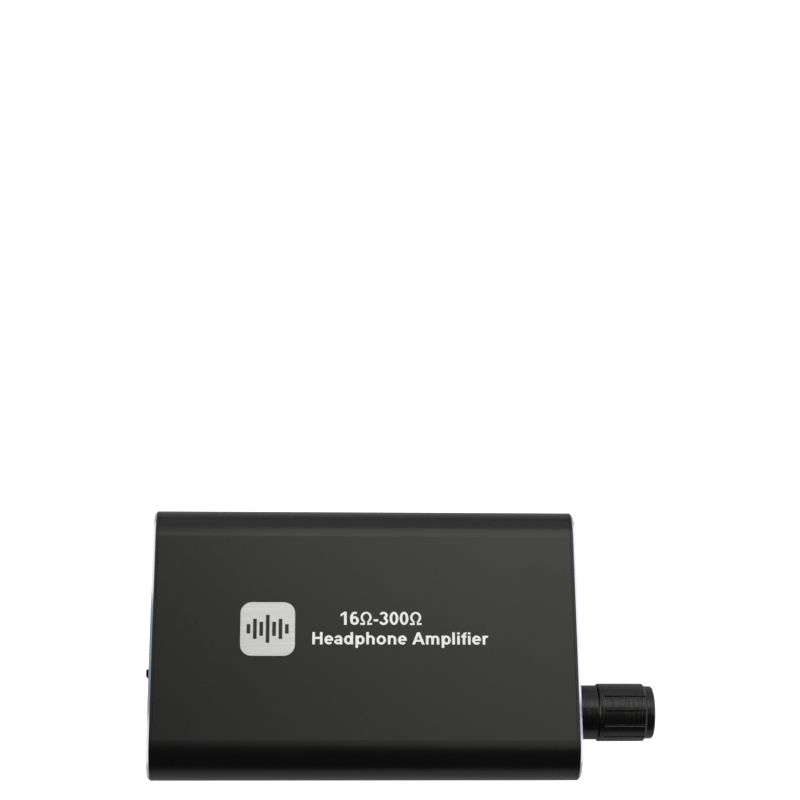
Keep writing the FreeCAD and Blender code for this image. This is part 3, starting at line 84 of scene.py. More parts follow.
class Tree:
    """Adds and joins the nodes of one shader or geometry tree."""

    def __init__(self, nodes_of: bpy.types.NodeTree) -> None:
        """Takes the tree that the nodes go in."""
        self.tree = nodes_of

    def add(self, kind: str, inputs: dict | None = None, **settings) -> Node:
        """Adds a node.

        Args:
            kind: the node's Blender type.
            inputs: socket name or place to a value, or to a socket that is joined to it.
            settings: the node's own properties.

        Returns:
            The new node.
        """
        node = self.tree.nodes.new(kind)
        for name, setting in settings.items():
            setattr(node, name, setting)
        for name, given in (inputs or {}).items():
            socket = node.inputs[name]
            if isinstance(given, Socket):
                self.join(given, socket)
            else:
                socket.default_value = given
        return node

    def math(self, operation: str, *terms: float | Socket, clamp: bool = False) -> Socket:
        """Works out one sum of numbers.

        Args:
            operation: the Math node's operation.
            terms: its numbers or sockets, in order.
            clamp: whether the result is kept from 0 to 1.

        Returns:
            The socket with the result.
        """
        node = self.add("ShaderNodeMath", dict(enumerate(terms)), operation=operation, use_clamp=clamp)
        return node.outputs[0]

    def spread(self, value: Socket, low: float, high: float, to_low: float, to_high: float) -> Socket:
        """Maps value from the range low to high onto the range to_low to to_high, and keeps it there."""
        given = {"Value": value, "From Min": low, "From Max": high, "To Min": to_low, "To Max": to_high}
        return self.add("ShaderNodeMapRange", given).outputs["Result"]

    def join(self, source: Socket, target: Socket) -> None:
        """Links one socket to another."""
        self.tree.links.new(source, target)

    def mix(self, mask: Socket, first: Colour | Socket, second: Colour) -> Socket:
        """Mixes two colours by a mask.

        Args:
            mask: 0 for the first colour and 1 for the second.
            first: the first colour, or the socket with it.
            second: the second colour.

        Returns:
            The socket with the colour.
        """
        node = self.add("ShaderNodeMix", data_type="RGBA")
        factor, start, end = (s for s in node.inputs if s.enabled)
        self.join(mask, factor)
        if isinstance(first, Socket):
            self.join(first, start)
        else:
            start.default_value = (*first, 1.0)
        end.default_value = (*second, 1.0)
        return next(s for s in node.outputs if s.enabled)


class EffectGroup(Tree):
    """A shader node group with named inputs and outputs, for one effect that several finishes use."""

    def __init__(self, name: str, inputs: dict[str, float | None], outputs: Sequence[str]) -> None:
        """Opens the group.

        Args:
            name: the group's name.
            inputs: input name to its usual number, or None for a vector.
            outputs: names of the numbers that it puts out.
        """
        tree = bpy.data.node_groups.new(name, "ShaderNodeTree")
        super().__init__(tree)
        for label, usual in inputs.items():
            kind = "NodeSocketVector" if usual is None else "NodeSocketFloat"
            socket = tree.interface.new_socket(label, in_out="INPUT", socket_type=kind)
            if usual is not None:
                socket.default_value = usual
        for label in outputs:
            tree.interface.new_socket(label, in_out="OUTPUT", socket_type="NodeSocketFloat")
        self.given = tree.nodes.new("NodeGroupInput").outputs
        self.result = tree.nodes.new("NodeGroupOutput").inputs

    def give(self, name: str, value: Socket) -> None:
        """Joins a socket to the output of that name."""
        self.join(value, self.result[name])


class Effects:
    """The effect groups, each built the first time that a finish asks for it."""

    built: dict[str, bpy.types.NodeTree] = {}

    @classmethod
    def get(cls, name: str) -> bpy.types.NodeTree:
        """Returns the group called name, from the method of that name."""
        if name not in cls.built:
            cls.built[name] = getattr(cls, name)()
        return cls.built[name]

    @staticmethod
    def fine_grain() -> bpy.types.NodeTree:
        """Builds the etched grain of anodised metal and moulded plastic.

        Returns:
            A group whose Height is the grain and whose Cloud is a slow change of tone.
        """
        g = EffectGroup(
            "fine_grain", {"Vector": None, "Scale": 3000.0, "Cloud Scale": 60.0}, ("Height", "Cloud")
        )
        grain = g.add(
            "ShaderNodeTexNoise",
            {"Vector": g.given["Vector"], "Scale": g.given["Scale"], "Detail": 2.0, "Roughness": 0.65},
        )
        cloud = g.add(
            "ShaderNodeTexNoise",
            {"Vector": g.given["Vector"], "Scale": g.given["Cloud Scale"], "Detail": 3.0, "Distortion": 0.4},
        )
        g.give("Height", grain.outputs["Fac"])
        g.give("Cloud", cloud.outputs["Fac"])
        return g.tree

    @staticmethod
    def brush_lines() -> bpy.types.NodeTree:
        """Builds the straight lines of brushed metal, which run along X.

        Returns:
            A group whose Height is the lines and whose Band is their slow change of tone.
        """
        g = EffectGroup("brush_lines", {"Vector": None, "Line Scale": 4200.0}, ("Height", "Band"))
        drawn_out = (0.012, 1.0, 1.0)
        along = g.add("ShaderNodeVectorMath", {0: g.given["Vector"], 1: drawn_out}, operation="MULTIPLY")
        lines = g.add(
            "ShaderNodeTexNoise",
            {"Vector": along.outputs[0], "Scale": g.given["Line Scale"], "Detail": 3.0, "Roughness": 0.7},
        )
        slow = g.math("MULTIPLY", g.given["Line Scale"], 0.4)
        bands = g.add("ShaderNodeTexNoise", {"Vector": along.outputs[0], "Scale": slow, "Detail": 2.0})
        g.give("Height", lines.outputs["Fac"])
        g.give("Band", bands.outputs["Fac"])
        return g.tree

    @staticmethod
    def turning_rings() -> bpy.types.NodeTree:
        """Builds the rings that a lathe tool leaves round the X axis, a pitch apart.

        Returns:
            A group whose Height is the rings, uneven in depth, and whose Ring is their change of tone.
        """
        g = EffectGroup("turning_rings", {"Vector": None, "Pitch": 0.00038}, ("Height", "Ring"))
        along = g.add("ShaderNodeSeparateXYZ", {0: g.given["Vector"]}).outputs["X"]
        place = g.math("DIVIDE", along, g.given["Pitch"])
        wave = g.math("PINGPONG", place, 0.5)
        uneven = g.add("ShaderNodeTexNoise", {"W": place, "Scale": 0.9, "Detail": 2.0}, noise_dimensions="1D")
        depth = g.spread(uneven.outputs["Fac"], 0.3, 0.7, 0.45, 1.0)
        g.give("Height", g.math("MULTIPLY", g.math("MULTIPLY", wave, 2.0), depth))
        g.give("Ring", uneven.outputs["Fac"])
        return g.tree

    @staticmethod
    def edge_wear_and_glint() -> bpy.types.NodeTree:
        """Builds the mask of sharp edges, for rubbed wear and, on the knob, a painted glint.

        Returns:
            A group whose Mask is 1 on a sharp edge, broken up by noise, and 0 elsewhere.
        """
        g = EffectGroup("edge_wear_and_glint", {"Vector": None, "Reach": 0.00015, "Break Scale": 900.0}, ("Mask",))
        rounded = g.add("ShaderNodeBevel", {"Radius": g.given["Reach"]}, samples=4)
        flat = g.add("ShaderNodeNewGeometry")
        alike = g.add(
            "ShaderNodeVectorMath",
            {0: rounded.outputs[0], 1: flat.outputs["Normal"]},
            operation="DOT_PRODUCT",
        )
        edge = g.spread(alike.outputs["Value"], 0.99, 0.8, 0.0, 1.0)
        breaks = g.add(
            "ShaderNodeTexNoise",
            {"Vector": g.given["Vector"], "Scale": g.given["Break Scale"], "Detail": 3.0},
        )
        kept = g.spread(breaks.outputs["Fac"], 0.38, 0.6, 0.25, 1.0)
        g.give("Mask", g.math("MULTIPLY", edge, kept, clamp=True))
        return g.tree

    @staticmethod
    def handling_marks() -> bpy.types.NodeTree:
        """Builds the faint smears that fingers leave in a gloss.

        Returns:
            A group whose Mask is the smears, from 0 to 1.
        """
        g = EffectGroup("handling_marks", {"Vector": None, "Scale": 45.0}, ("Mask",))
        smear = g.add(
            "ShaderNodeTexNoise",
            {"Vector": g.given["Vector"], "Scale": g.given["Scale"], "Detail": 2.0, "Distortion": 0.3},
        )
        g.give("Mask", g.spread(smear.outputs["Fac"], 0.35, 0.7, 0.0, 1.0))
        return g.tree


# ---------------------------------------------------------------- finishes


@dataclass(frozen=True)
class Finish:
    """A finish with a slow change of tone, a grain in its gloss and its relief, and tinted edges: rubbed
    wear, and on the knob a painted glint.

    Attributes:
        name: the material's name.
        colour: its usual colour, linear.
        second: the colour that it drifts to.
        metallic: the shader's Metallic.
        roughness: lowest and highest roughness.
        grain: grains per metre.
        relief: depth of the grain's bump, in metres.
        cloud: slow changes per metre.
        wear: colour of the edges, for rubbed wear and, on the knob, a painted glint; None for none.
        wear_and_glint_reach: how far from an edge the wear and the painted glint reach, in metres.
        specular: the shader's Specular IOR Level.
    """

    name: str
    colour: Colour
    second: Colour
    metallic: float = 0.0
    roughness: tuple[float, float] = (0.3, 0.4)
    grain: float = 3000.0
    relief: float = 0.000004
    cloud: float = 60.0
    wear: Colour | None = None
    wear_and_glint_reach: float = 0.00015
    specular: float = 0.5

    def build(self) -> bpy.types.Material:
        """Makes the material the first time, and gives the same one afterwards.

        Returns:
            The finish's material.
        """
        made = bpy.data.materials.get(self.name)
        if made is not None:
            return made
        material = bpy.data.materials.new(self.name)
        material.use_nodes = True
        material.node_tree.nodes.clear()
        tree = Tree(material.node_tree)
        shader = tree.add(
            "ShaderNodeBsdfPrincipled", {"Metallic": self.metallic, "Specular IOR Level": self.specular}
        )
        out = tree.add("ShaderNodeOutputMaterial", {"Surface": shader.outputs[0]})
        out.is_active_output = True
        where = tree.add("ShaderNodeTexCoord").outputs["Object"]
        self.surface(tree, shader, where)
        return material

    def surface(self, tree: Tree, shader: Node, where: Socket) -> None:
        """Joins the finish's effects to its shader.

        Args:
            tree: the material's tree.
            shader: its Principled BSDF.
            where: the piece's own coordinates.
        """
        grain = self.effect(tree, "fine_grain", where, {"Scale": self.grain, "Cloud Scale": self.cloud})
        tone = tree.mix(tree.spread(grain.outputs["Cloud"], 0.3, 0.7, 0.0, 1.0), self.colour, self.second)
        self.join_colour(tree, shader, where, tone)
        marks = self.effect(tree, "handling_marks", where, {})
        rough = tree.spread(marks.outputs["Mask"], 0.0, 1.0, *self.roughness)
        tree.join(rough, shader.inputs["Roughness"])
        self.join_bump(tree, shader, grain.outputs["Height"], self.relief)

    def join_colour(self, tree: Tree, shader: Node, where: Socket, tone: Socket) -> None:
        """Joins a tone to Base Color, with the edges tinted where the finish has an edge colour: rubbed wear,
        and on the knob a painted glint.

        Args:
            tree: the material's tree.
            shader: its Principled BSDF.
            where: the piece's own coordinates.
            tone: the socket with the colour.
        """
        # The edge colour is rubbed wear, and on the knob a painted glint.
        if self.wear is not None:
            wear_and_glint_edges = self.effect(tree, "edge_wear_and_glint", where, {"Reach": self.wear_and_glint_reach})
            tone = tree.mix(wear_and_glint_edges.outputs["Mask"], tone, self.wear)
        tree.join(tone, shader.inputs["Base Color"])

    @staticmethod
    def join_bump(tree: Tree, shader: Node, height: Socket, depth: float) -> None:
        """Joins a height, depth metres deep, to the shader's Normal."""
        bump = tree.add("ShaderNodeBump", {"Strength": 1.0, "Distance": depth, "Height": height})
        tree.join(bump.outputs[0], shader.inputs["Normal"])

    @staticmethod
    def effect(tree: Tree, name: str, where: Socket, values: dict[str, float]) -> Node:
        """Places an effect group.

        Args:
            tree: the material's tree.
            name: the group's name in Effects.
            where: the coordinates that it reads.
            values: this finish's own numbers for it.

        Returns:
            The group node.
        """
        node = tree.tree.nodes.new("ShaderNodeGroup")
        node.node_tree = Effects.get(name)
        tree.join(where, node.inputs["Vector"])
        for label, number in values.items():
            node.inputs[label].default_value = number
        return node


@dataclass(frozen=True)
class Brushed(Finish):
    """Metal brushed in straight lines along X.

    Attributes:
        line_scale: lines per metre.
    """

    line_scale: float = 4200.0

    def surface(self, tree: Tree, shader: Node, where: Socket) -> None:
        """Joins the brush lines to colour, roughness and relief."""
        lines = self.effect(tree, "brush_lines", where, {"Line Scale": self.line_scale})
        height, band = lines.outputs["Height"], lines.outputs["Band"]
        both = tree.math("ADD", tree.math("MULTIPLY", height, 0.5), tree.math("MULTIPLY", band, 0.5))
        tone = tree.mix(tree.spread(both, 0.38, 0.62, 0.0, 1.0), self.colour, self.second)
        self.join_colour(tree, shader, where, tone)
        rough = tree.spread(band, 0.3, 0.7, *self.roughness)
        tree.join(rough, shader.inputs["Roughness"])
        self.join_bump(tree, shader, height, self.relief)


@dataclass(frozen=True)
class Turned(Finish):
    """Metal turned on a lathe round the X axis, then anodised.

    Attributes:
        pitch: the tool's feed from one ring to the next, in metres.
        ring_depth: depth of the rings, in metres.
    """

    pitch: float = 0.00038
    ring_depth: float = 0.00002

    def surface(self, tree: Tree, shader: Node, where: Socket) -> None:
        """Joins the tool's rings to colour, roughness and relief."""
        rings = self.effect(tree, "turning_rings", where, {"Pitch": self.pitch})
        ring = rings.outputs["Ring"]
        tone = tree.mix(tree.spread(ring, 0.3, 0.7, 0.0, 1.0), self.colour, self.second)
        self.join_colour(tree, shader, where, tone)
        rough = tree.spread(ring, 0.3, 0.7, *self.roughness)
        tree.join(rough, shader.inputs["Roughness"])
        self.join_bump(tree, shader, rings.outputs["Height"], self.ring_depth)


@dataclass(frozen=True)
class Lens(Finish):
    """Tinted resin of a lamp, clear enough for light to pass.

    Attributes:
        clear: the shader's Transmission Weight.
    """

    clear: float = 0.5

    def surface(self, tree: Tree, shader: Node, where: Socket) -> None:
        """Adds the resin's depth of colour to the usual surface."""
        super().surface(tree, shader, where)
        shader.inputs["Transmission Weight"].default_value = self.clear
        shader.inputs["IOR"].default_value = 1.52


@dataclass(frozen=True)
class Foil(Finish):
    """Thin foil with a crumpled surface.

    Attributes:
        crumple: folds per metre.
        fold: depth of the folds, in metres.
    """

    crumple: float = 260.0
    fold: float = 0.00012

    def surface(self, tree: Tree, shader: Node, where: Socket) -> None:
        """Replaces the grain's relief by folds between flat cells."""
        super().surface(tree, shader, where)
        folds = {"Vector": where, "Scale": self.crumple}
        cells = tree.add("ShaderNodeTexVoronoi", folds, feature="SMOOTH_F1")
        self.join_bump(tree, shader, cells.outputs["Distance"], self.fold)


@dataclass(frozen=True)
class Laminate(Finish):
    """Circuit board: solder mask over copper tracks.

    Attributes:
        copper: the mask's colour where a track runs under it.
        track: size of the track pattern, per metre.
        raised: how far the tracks stand up, in metres.
    """

    copper: Colour = (0.02, 0.09, 0.03)
    track: float = 420.0
    raised: float = 0.00003

    def surface(self, tree: Tree, shader: Node, where: Socket) -> None:
        """Draws tracks as bricks of two sizes, raised a little."""
        super().surface(tree, shader, where)
        tracks = tree.add(
            "ShaderNodeTexBrick",
            {"Vector": where, "Scale": self.track, "Mortar Size": 0.03,
             "Brick Width": 1.6, "Row Height": 0.35},
        )
        height = tracks.outputs["Fac"]
        tree.join(tree.mix(height, self.colour, self.copper), shader.inputs["Base Color"])
        self.join_bump(tree, shader, height, self.raised)


BLACK = (0.0013, 0.0013, 0.0012)
BLACK_HIGH = (0.0022, 0.0021, 0.002)

CASE_FINISH = Finish(
    "case_black_anodised", BLACK, BLACK_HIGH, roughness=(0.26, 0.29), grain=5200.0, relief=0.0000036,
    cloud=30.0, wear=(0.03, 0.028, 0.025), wear_and_glint_reach=0.00012,
)
PLATE_FINISH = Finish(
    "plate_black_anodised", BLACK, BLACK_HIGH, roughness=(0.24, 0.3), grain=5200.0, relief=0.0000018,
    cloud=60.0,
)
CUT_FINISH = Finish(
    "plate_cut_edge", (0.93, 0.93, 0.95), (0.97, 0.97, 0.985), metallic=1.0, roughness=(0.16, 0.24),
    grain=9000.0, relief=0.0000006, cloud=200.0,
)
BADGE_FINISH = Brushed(
    "badge_brushed_metal", (0.64, 0.643, 0.64), (0.77, 0.775, 0.77), metallic=1.0, roughness=(0.34, 0.46),
    relief=0.0000035, line_scale=4200.0,
)
# The knob's light edge colour is a painted glint: it stands in for light catching the edges of the grooves
# and lands.
KNOB_FINISH = Turned(
    "knob_turned_anodised", (0.0016, 0.0016, 0.0015), (0.003, 0.0029, 0.0027), roughness=(0.2, 0.28),
    ring_depth=0.000033, pitch=0.00033, wear=(0.11, 0.107, 0.1), wear_and_glint_reach=0.00014,
)
SCREW_FINISH = Finish(
    "screw_blackened_steel", (0.045, 0.045, 0.047), (0.09, 0.088, 0.085), metallic=1.0, roughness=(0.28, 0.4),
    grain=6000.0, relief=0.000003, wear=(0.4, 0.39, 0.37), wear_and_glint_reach=0.00008,
)
INK_WHITE = Finish(
    "print_white", (0.96, 0.96, 0.95), (1.0, 1.0, 0.99), roughness=(0.45, 0.6), grain=7000.0, relief=0.000003,
)
INK_BLACK = Finish(
    "badge_enamel_black", (0.006, 0.006, 0.0055), (0.011, 0.01, 0.009), roughness=(0.3, 0.45), grain=7000.0,
    relief=0.000003,
)
MOULDED_BLACK = Finish(
    "jack_moulded_black", (0.006, 0.006, 0.006), (0.012, 0.012, 0.012), roughness=(0.35, 0.5), grain=2600.0,
    relief=0.000006,
)


# What stands inside the case or shows only through its openings, by the record's material slot.
INNER_FINISHES: dict[str, Finish] = {
    "chip_black": Finish("chip_epoxy", (0.012, 0.012, 0.013), (0.02, 0.02, 0.021), grain=4000.0),
    "capacitor_can": Finish(
        "capacitor_sleeve", (0.02, 0.03, 0.06), (0.03, 0.045, 0.08), roughness=(0.2, 0.35)
    ),
    "coil_ferrite": Finish("coil_ferrite_grey", (0.05, 0.05, 0.052), (0.08, 0.078, 0.075)),
    "small_ceramic": Finish("ceramic_brown", (0.32, 0.22, 0.13), (0.42, 0.3, 0.19)),
    "contact_metal": Finish(
        "contact_plated", (0.72, 0.66, 0.5), (0.8, 0.76, 0.64), metallic=1.0, roughness=(0.18, 0.3)
    ),
    "control_metal": Finish(
        "control_plated_steel", (0.5, 0.5, 0.49), (0.62, 0.61, 0.59), metallic=1.0, roughness=(0.25, 0.4)
    ),
    "control_phenolic": Finish("control_resin_board", (0.2, 0.1, 0.035), (0.28, 0.15, 0.06)),
    "control_plastic": Finish("control_moulded_grey", (0.03, 0.03, 0.032), (0.045, 0.045, 0.047)),
    "slider_plastic": Finish(
        "slider_moulded_black", (0.004, 0.004, 0.004), (0.008, 0.008, 0.008), roughness=(0.4, 0.55),
        specular=0.08,
    ),
    "socket_steel": Finish(
        "socket_plated_shell", (0.6, 0.6, 0.59), (0.72, 0.72, 0.7), metallic=1.0, roughness=(0.18, 0.32)
    ),
    "socket_plastic": Finish("socket_moulded_tongue", (0.012, 0.012, 0.012), (0.02, 0.02, 0.02)),
    "lamp_red": Lens("lamp_red_resin", (0.5, 0.02, 0.015), (0.62, 0.04, 0.03), roughness=(0.06, 0.12)),
    "lamp_blue": Lens("lamp_blue_resin", (0.03, 0.14, 0.55), (0.06, 0.2, 0.7), roughness=(0.06, 0.12)),
    "foam_tape": Finish("tape_foam", (0.6, 0.58, 0.52), (0.7, 0.68, 0.62), relief=0.00003, grain=1800.0),
    "header_nylon": Finish("header_white_nylon", (0.68, 0.66, 0.6), (0.76, 0.74, 0.69)),
    "lead_red": Finish("lead_red_sleeve", (0.45, 0.015, 0.012), (0.55, 0.03, 0.02)),
    "lead_black": Finish("lead_black_sleeve", (0.01, 0.01, 0.01), (0.018, 0.018, 0.018)),
    "battery_foil": Foil(
        "battery_pouch_foil", (0.68, 0.68, 0.69), (0.78, 0.78, 0.79), metallic=1.0, roughness=(0.25, 0.4)
    ),
    "board_laminate": Laminate("board_green_mask", (0.008, 0.05, 0.015), (0.012, 0.06, 0.02)),
    "jack_plastic": MOULDED_BLACK,
}


# ---------------------------------------------------------------- pieces


def dress(node: str, finish: Finish | bpy.types.Material) -> None:
    """Gives a CAD node its finish in every material slot.

    Args:
        node: the CAD node's name.
        finish: its finish, or the material made from one.
    """
    material = finish if isinstance(finish, bpy.types.Material) else finish.build()
    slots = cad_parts[node].data.materials
    for index in range(len(slots)):
        slots[index] = material
    LOG.info("dressed %s in %s", node, material.name)


def new_piece(
    name: str, mesh: bpy.types.Mesh, body: str, replaces: Sequence[str] = ()
) -> bpy.types.Object:
    """Puts a finished mesh in the scene as a piece of the object.

    Args:
        name: the piece's name.
        mesh: its mesh, in place, with its material.
        body: the CAD body that it rides on.
        replaces: the CAD nodes that it stands for.

    Returns:
        The new object.
    """
    piece = bpy.data.objects.new(name, mesh)
    bpy.context.scene.collection.objects.link(piece)
    mesh.name = name
    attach(piece, body)
    if replaces:
        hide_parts(*replaces)
    LOG.info("made %s: %d faces on %s", name, len(mesh.polygons), body)
    return piece


def plain_mesh(holder: bpy.types.Object) -> bpy.types.Mesh:
    """Turns an object with live modifiers into a plain mesh, and removes both."""
    bpy.context.view_layer.update()
    graph = bpy.context.evaluated_depsgraph_get()
    mesh = bpy.data.meshes.new_from_object(holder.evaluated_get(graph), depsgraph=graph)
    holder.modifiers.clear()
    bpy.data.objects.remove(holder)
    return mesh


Point = tuple[float, float]


@dataclass(frozen=True)
class Bar:
    """A straight stroke, or a filled shape where its width is 0.

    Attributes:
        points: the stroke's ends, or the shape's corners.
        width: the stroke's width, in capital heights.
    """

    points: tuple[Point, ...]
    width: float = 0.205

    def outline(self) -> list[Vector]:
        """Returns the corners of the stroke's outline."""
        if not self.width:
            return [Vector(p) for p in self.points]
        start, end = (Vector(p) for p in self.points)
        side = (end - start).normalized().orthogonal() * self.width / 2
        return [start + side, end + side, end - side, start - side]


@dataclass(frozen=True)
class Bow:
    """A curved stroke along part of an ellipse.

    Attributes:
        centre: the ellipse's centre.
        radii: the middle line's two radii.
        sweep: the first and last angle, in degrees anticlockwise from the right.
        widths: the stroke's width where it is upright and where it lies flat.
        steps: pieces that a whole turn is drawn in.
    """

    centre: Point
    radii: Point
    sweep: tuple[float, float] = (0.0, 360.0)
    widths: tuple[float, float] = (0.205, 0.165)
    steps: int = 56

    def outline(self) -> list[Vector]:
        """Returns the points of the stroke's outline, out along one side and back along the other."""
        first, last = (math.radians(a) for a in self.sweep)
        count = max(4, round(self.steps * abs(last - first) / math.tau))
        sides = []
        for share in (0.5, -0.5):
            line = []
            for step in range(count + 1):
                angle = first + (last - first) * step / count
                across = self.radii[0] + share * self.widths[0]
                along = self.radii[1] + share * self.widths[1]
                x, y = across * math.cos(angle), along * math.sin(angle)
                line.append(Vector((self.centre[0] + x, self.centre[1] + y)))
            sides.append(line)
        return sides[0] + sides[1][::-1]


@dataclass(frozen=True)
class Glyph:
    """One letter: how far it moves the next one on, and its strokes."""

    advance: float
    strokes: tuple[Bar | Bow, ...]


def stem(x: float, low: float, high: float, width: float = 0.205) -> Bar:
    """Draws an upright stroke."""
    return Bar(((x, low), (x, high)), width)


def level(y: float, left: float, right: float, width: float = 0.165) -> Bar:
    """Draws a stroke that lies flat."""
    return Bar(((left, y), (right, y)), width)


def arch(left: float, right: float, low: float, top: float) -> tuple[Bar | Bow, ...]:
    """Draws the arch of h, m and n between two stems, with the right stem."""
    middle, radius = (left + right) / 2, (right - left) / 2
    return (Bow((middle, top - 0.3), (radius, 0.2175), (0.0, 165.0)), stem(right, low, top - 0.3))


class Lettering:
    """A bold plain alphabet of strokes, in capital heights, with only the signs that the case needs."""

    SPACE = 0.388
    GLYPHS: dict[str, Glyph] = {
        "H": Glyph(1.008, (stem(0.2025, 0.0, 1.0), stem(0.8025, 0.0, 1.0), level(0.52, 0.2, 0.8, 0.17))),
        "A": Glyph(
            1.0,
            (
                Bar(((0.0, 0.0), (0.225, 0.0), (0.61, 1.0), (0.39, 1.0)), 0.0),
                Bar(((1.0, 0.0), (0.61, 1.0), (0.39, 1.0), (0.775, 0.0)), 0.0),
                level(0.31, 0.25, 0.75),
            ),
        ),
        "G": Glyph(
            1.06,
            (
                Bow((0.53, 0.5), (0.385, 0.42), (35.0, 335.0)),
                stem(0.86, 0.12, 0.5, 0.19),
                level(0.46, 0.52, 0.95),
            ),
        ),
        "I": Glyph(0.41, (stem(0.205, 0.0, 1.0),)),
        "N": Glyph(
            1.008,
            (
                stem(0.2, 0.0, 1.0, 0.2),
                stem(0.8, 0.0, 1.0, 0.2),
                Bar(((0.1, 1.0), (0.32, 1.0), (0.9, 0.0), (0.68, 0.0)), 0.0),
            ),
        ),
        "O": Glyph(1.08, (Bow((0.54, 0.5), (0.39, 0.42)),)),
        "T": Glyph(0.86, (stem(0.43, 0.0, 1.0), level(0.915, 0.03, 0.83, 0.17))),
        "U": Glyph(
            1.008,
            (
                stem(0.205, 0.38, 1.0),
                stem(0.8, 0.38, 1.0),
                Bow((0.5025, 0.38), (0.2975, 0.3), (180.0, 360.0)),
            ),
        ),
        "V": Glyph(
            0.94,
            (
                Bar(((0.0, 1.0), (0.36, 0.0), (0.58, 0.0), (0.225, 1.0)), 0.0),
                Bar(((0.94, 1.0), (0.715, 1.0), (0.36, 0.0), (0.58, 0.0)), 0.0),
            ),
        ),
        "a": Glyph(
            0.777,
            (
                stem(0.575, 0.0, 0.5, 0.2),
                Bow((0.37, 0.475), (0.205, 0.1825), (0.0, 168.0), (0.2, 0.155)),
                Bow((0.335, 0.21), (0.2, 0.135), (75.0, 300.0), (0.19, 0.145)),
                Bar(((0.36, 0.27), (0.6, 0.32), (0.6, 0.46), (0.36, 0.418)), 0.0),
                Bar(((0.4, 0.005), (0.42, 0.16), (0.6, 0.27), (0.6, 0.1)), 0.0),
            ),
        ),
        "d": Glyph(0.853, (Bow((0.375, 0.365), (0.235, 0.29)), stem(0.655, 0.0, 1.0))),
        "e": Glyph(
            0.777,
            (Bow((0.39, 0.365), (0.245, 0.29), (2.0, 318.0)), level(0.37, 0.15, 0.735, 0.145)),
        ),
        "f": Glyph(
            0.465,
            (
                stem(0.24, 0.0, 0.82),
                Bow((0.43, 0.8), (0.19, 0.125), (85.0, 180.0), (0.205, 0.15)),
                level(0.655, 0.02, 0.44, 0.15),
            ),
        ),
        "h": Glyph(0.853, (stem(0.195, 0.0, 1.0), *arch(0.195, 0.655, 0.0, 0.735))),
        "i": Glyph(0.388, (stem(0.194, 0.0, 0.725), stem(0.194, 0.83, 1.0))),
        "l": Glyph(0.388, (stem(0.194, 0.0, 1.0),)),
        "m": Glyph(
            1.242, (stem(0.19, 0.0, 0.725), *arch(0.19, 0.62, 0.0, 0.735), *arch(0.62, 1.05, 0.0, 0.735))
        ),
        "n": Glyph(0.853, (stem(0.195, 0.0, 0.725), *arch(0.195, 0.655, 0.0, 0.735))),
        "o": Glyph(0.853, (Bow((0.425, 0.362), (0.27, 0.292)),)),
        "p": Glyph(0.853, (Bow((0.475, 0.362), (0.235, 0.29)), stem(0.195, -0.275, 0.725))),
        "r": Glyph(
            0.543,
            (stem(0.195, 0.0, 0.725), Bow((0.45, 0.41), (0.255, 0.24), (72.0, 175.0), (0.2, 0.17))),
        ),
        "0": Glyph(0.777, (Bow((0.39, 0.5), (0.235, 0.42)),)),
        "1": Glyph(
            0.777,
            (stem(0.47, 0.0, 1.0), Bar(((0.1, 0.64), (0.1, 0.82), (0.42, 1.0), (0.5, 0.86)), 0.0)),
        ),
        "3": Glyph(
            0.777,
            (
                Bow((0.37, 0.73), (0.215, 0.19), (-88.0, 165.0), (0.2, 0.155)),
                Bow((0.37, 0.285), (0.24, 0.21), (-168.0, 85.0)),
            ),
        ),
        "5": Glyph(
            0.777,
            (
                level(0.91, 0.2, 0.66),
                Bar(((0.1, 0.46), (0.29, 0.44), (0.36, 1.0), (0.18, 1.0)), 0.0),
                Bow((0.38, 0.325), (0.24, 0.245), (-165.0, 130.0)),
            ),
        ),
        "6": Glyph(
            0.777,
            (
                Bow((0.395, 0.325), (0.235, 0.245)),
                Bow((0.43, 0.5), (0.275, 0.42), (62.0, 205.0), (0.2, 0.16)),
            ),
        ),
        "Ω": Glyph(
            1.02,
            (
                Bow((0.51, 0.575), (0.335, 0.35), (-52.0, 232.0), (0.17, 0.14)),
                level(0.07, 0.06, 0.42, 0.14),
                level(0.07, 0.6, 0.96, 0.14),
                Bar(((0.27, 0.0), (0.42, 0.0), (0.42, 0.26), (0.3, 0.34)), 0.0),
                Bar(((0.75, 0.0), (0.6, 0.0), (0.6, 0.26), (0.72, 0.34)), 0.0),
            ),
        ),
        "-": Glyph(0.465, (level(0.35, 0.06, 0.42),)),
    }

    @classmethod
    def outlines(cls, words: str) -> list[list[Vector]]:
        """Sets words on a line.

        Args:
            words: what is printed.

        Returns:
            The outline of every stroke, anticlockwise, in capital heights.
        """
        found, start = [], 0.0
        for sign in words:
            if sign == " ":
                start += cls.SPACE
                continue
            glyph = cls.GLYPHS[sign]
            for stroke in glyph.strokes:
                corners = [p + Vector((start, 0.0)) for p in stroke.outline()]
                area = sum(a.cross(b) for a, b in zip(corners, corners[1:] + corners[:1]))
                found.append(corners if area > 0 else corners[::-1])
            start += glyph.advance
        return found

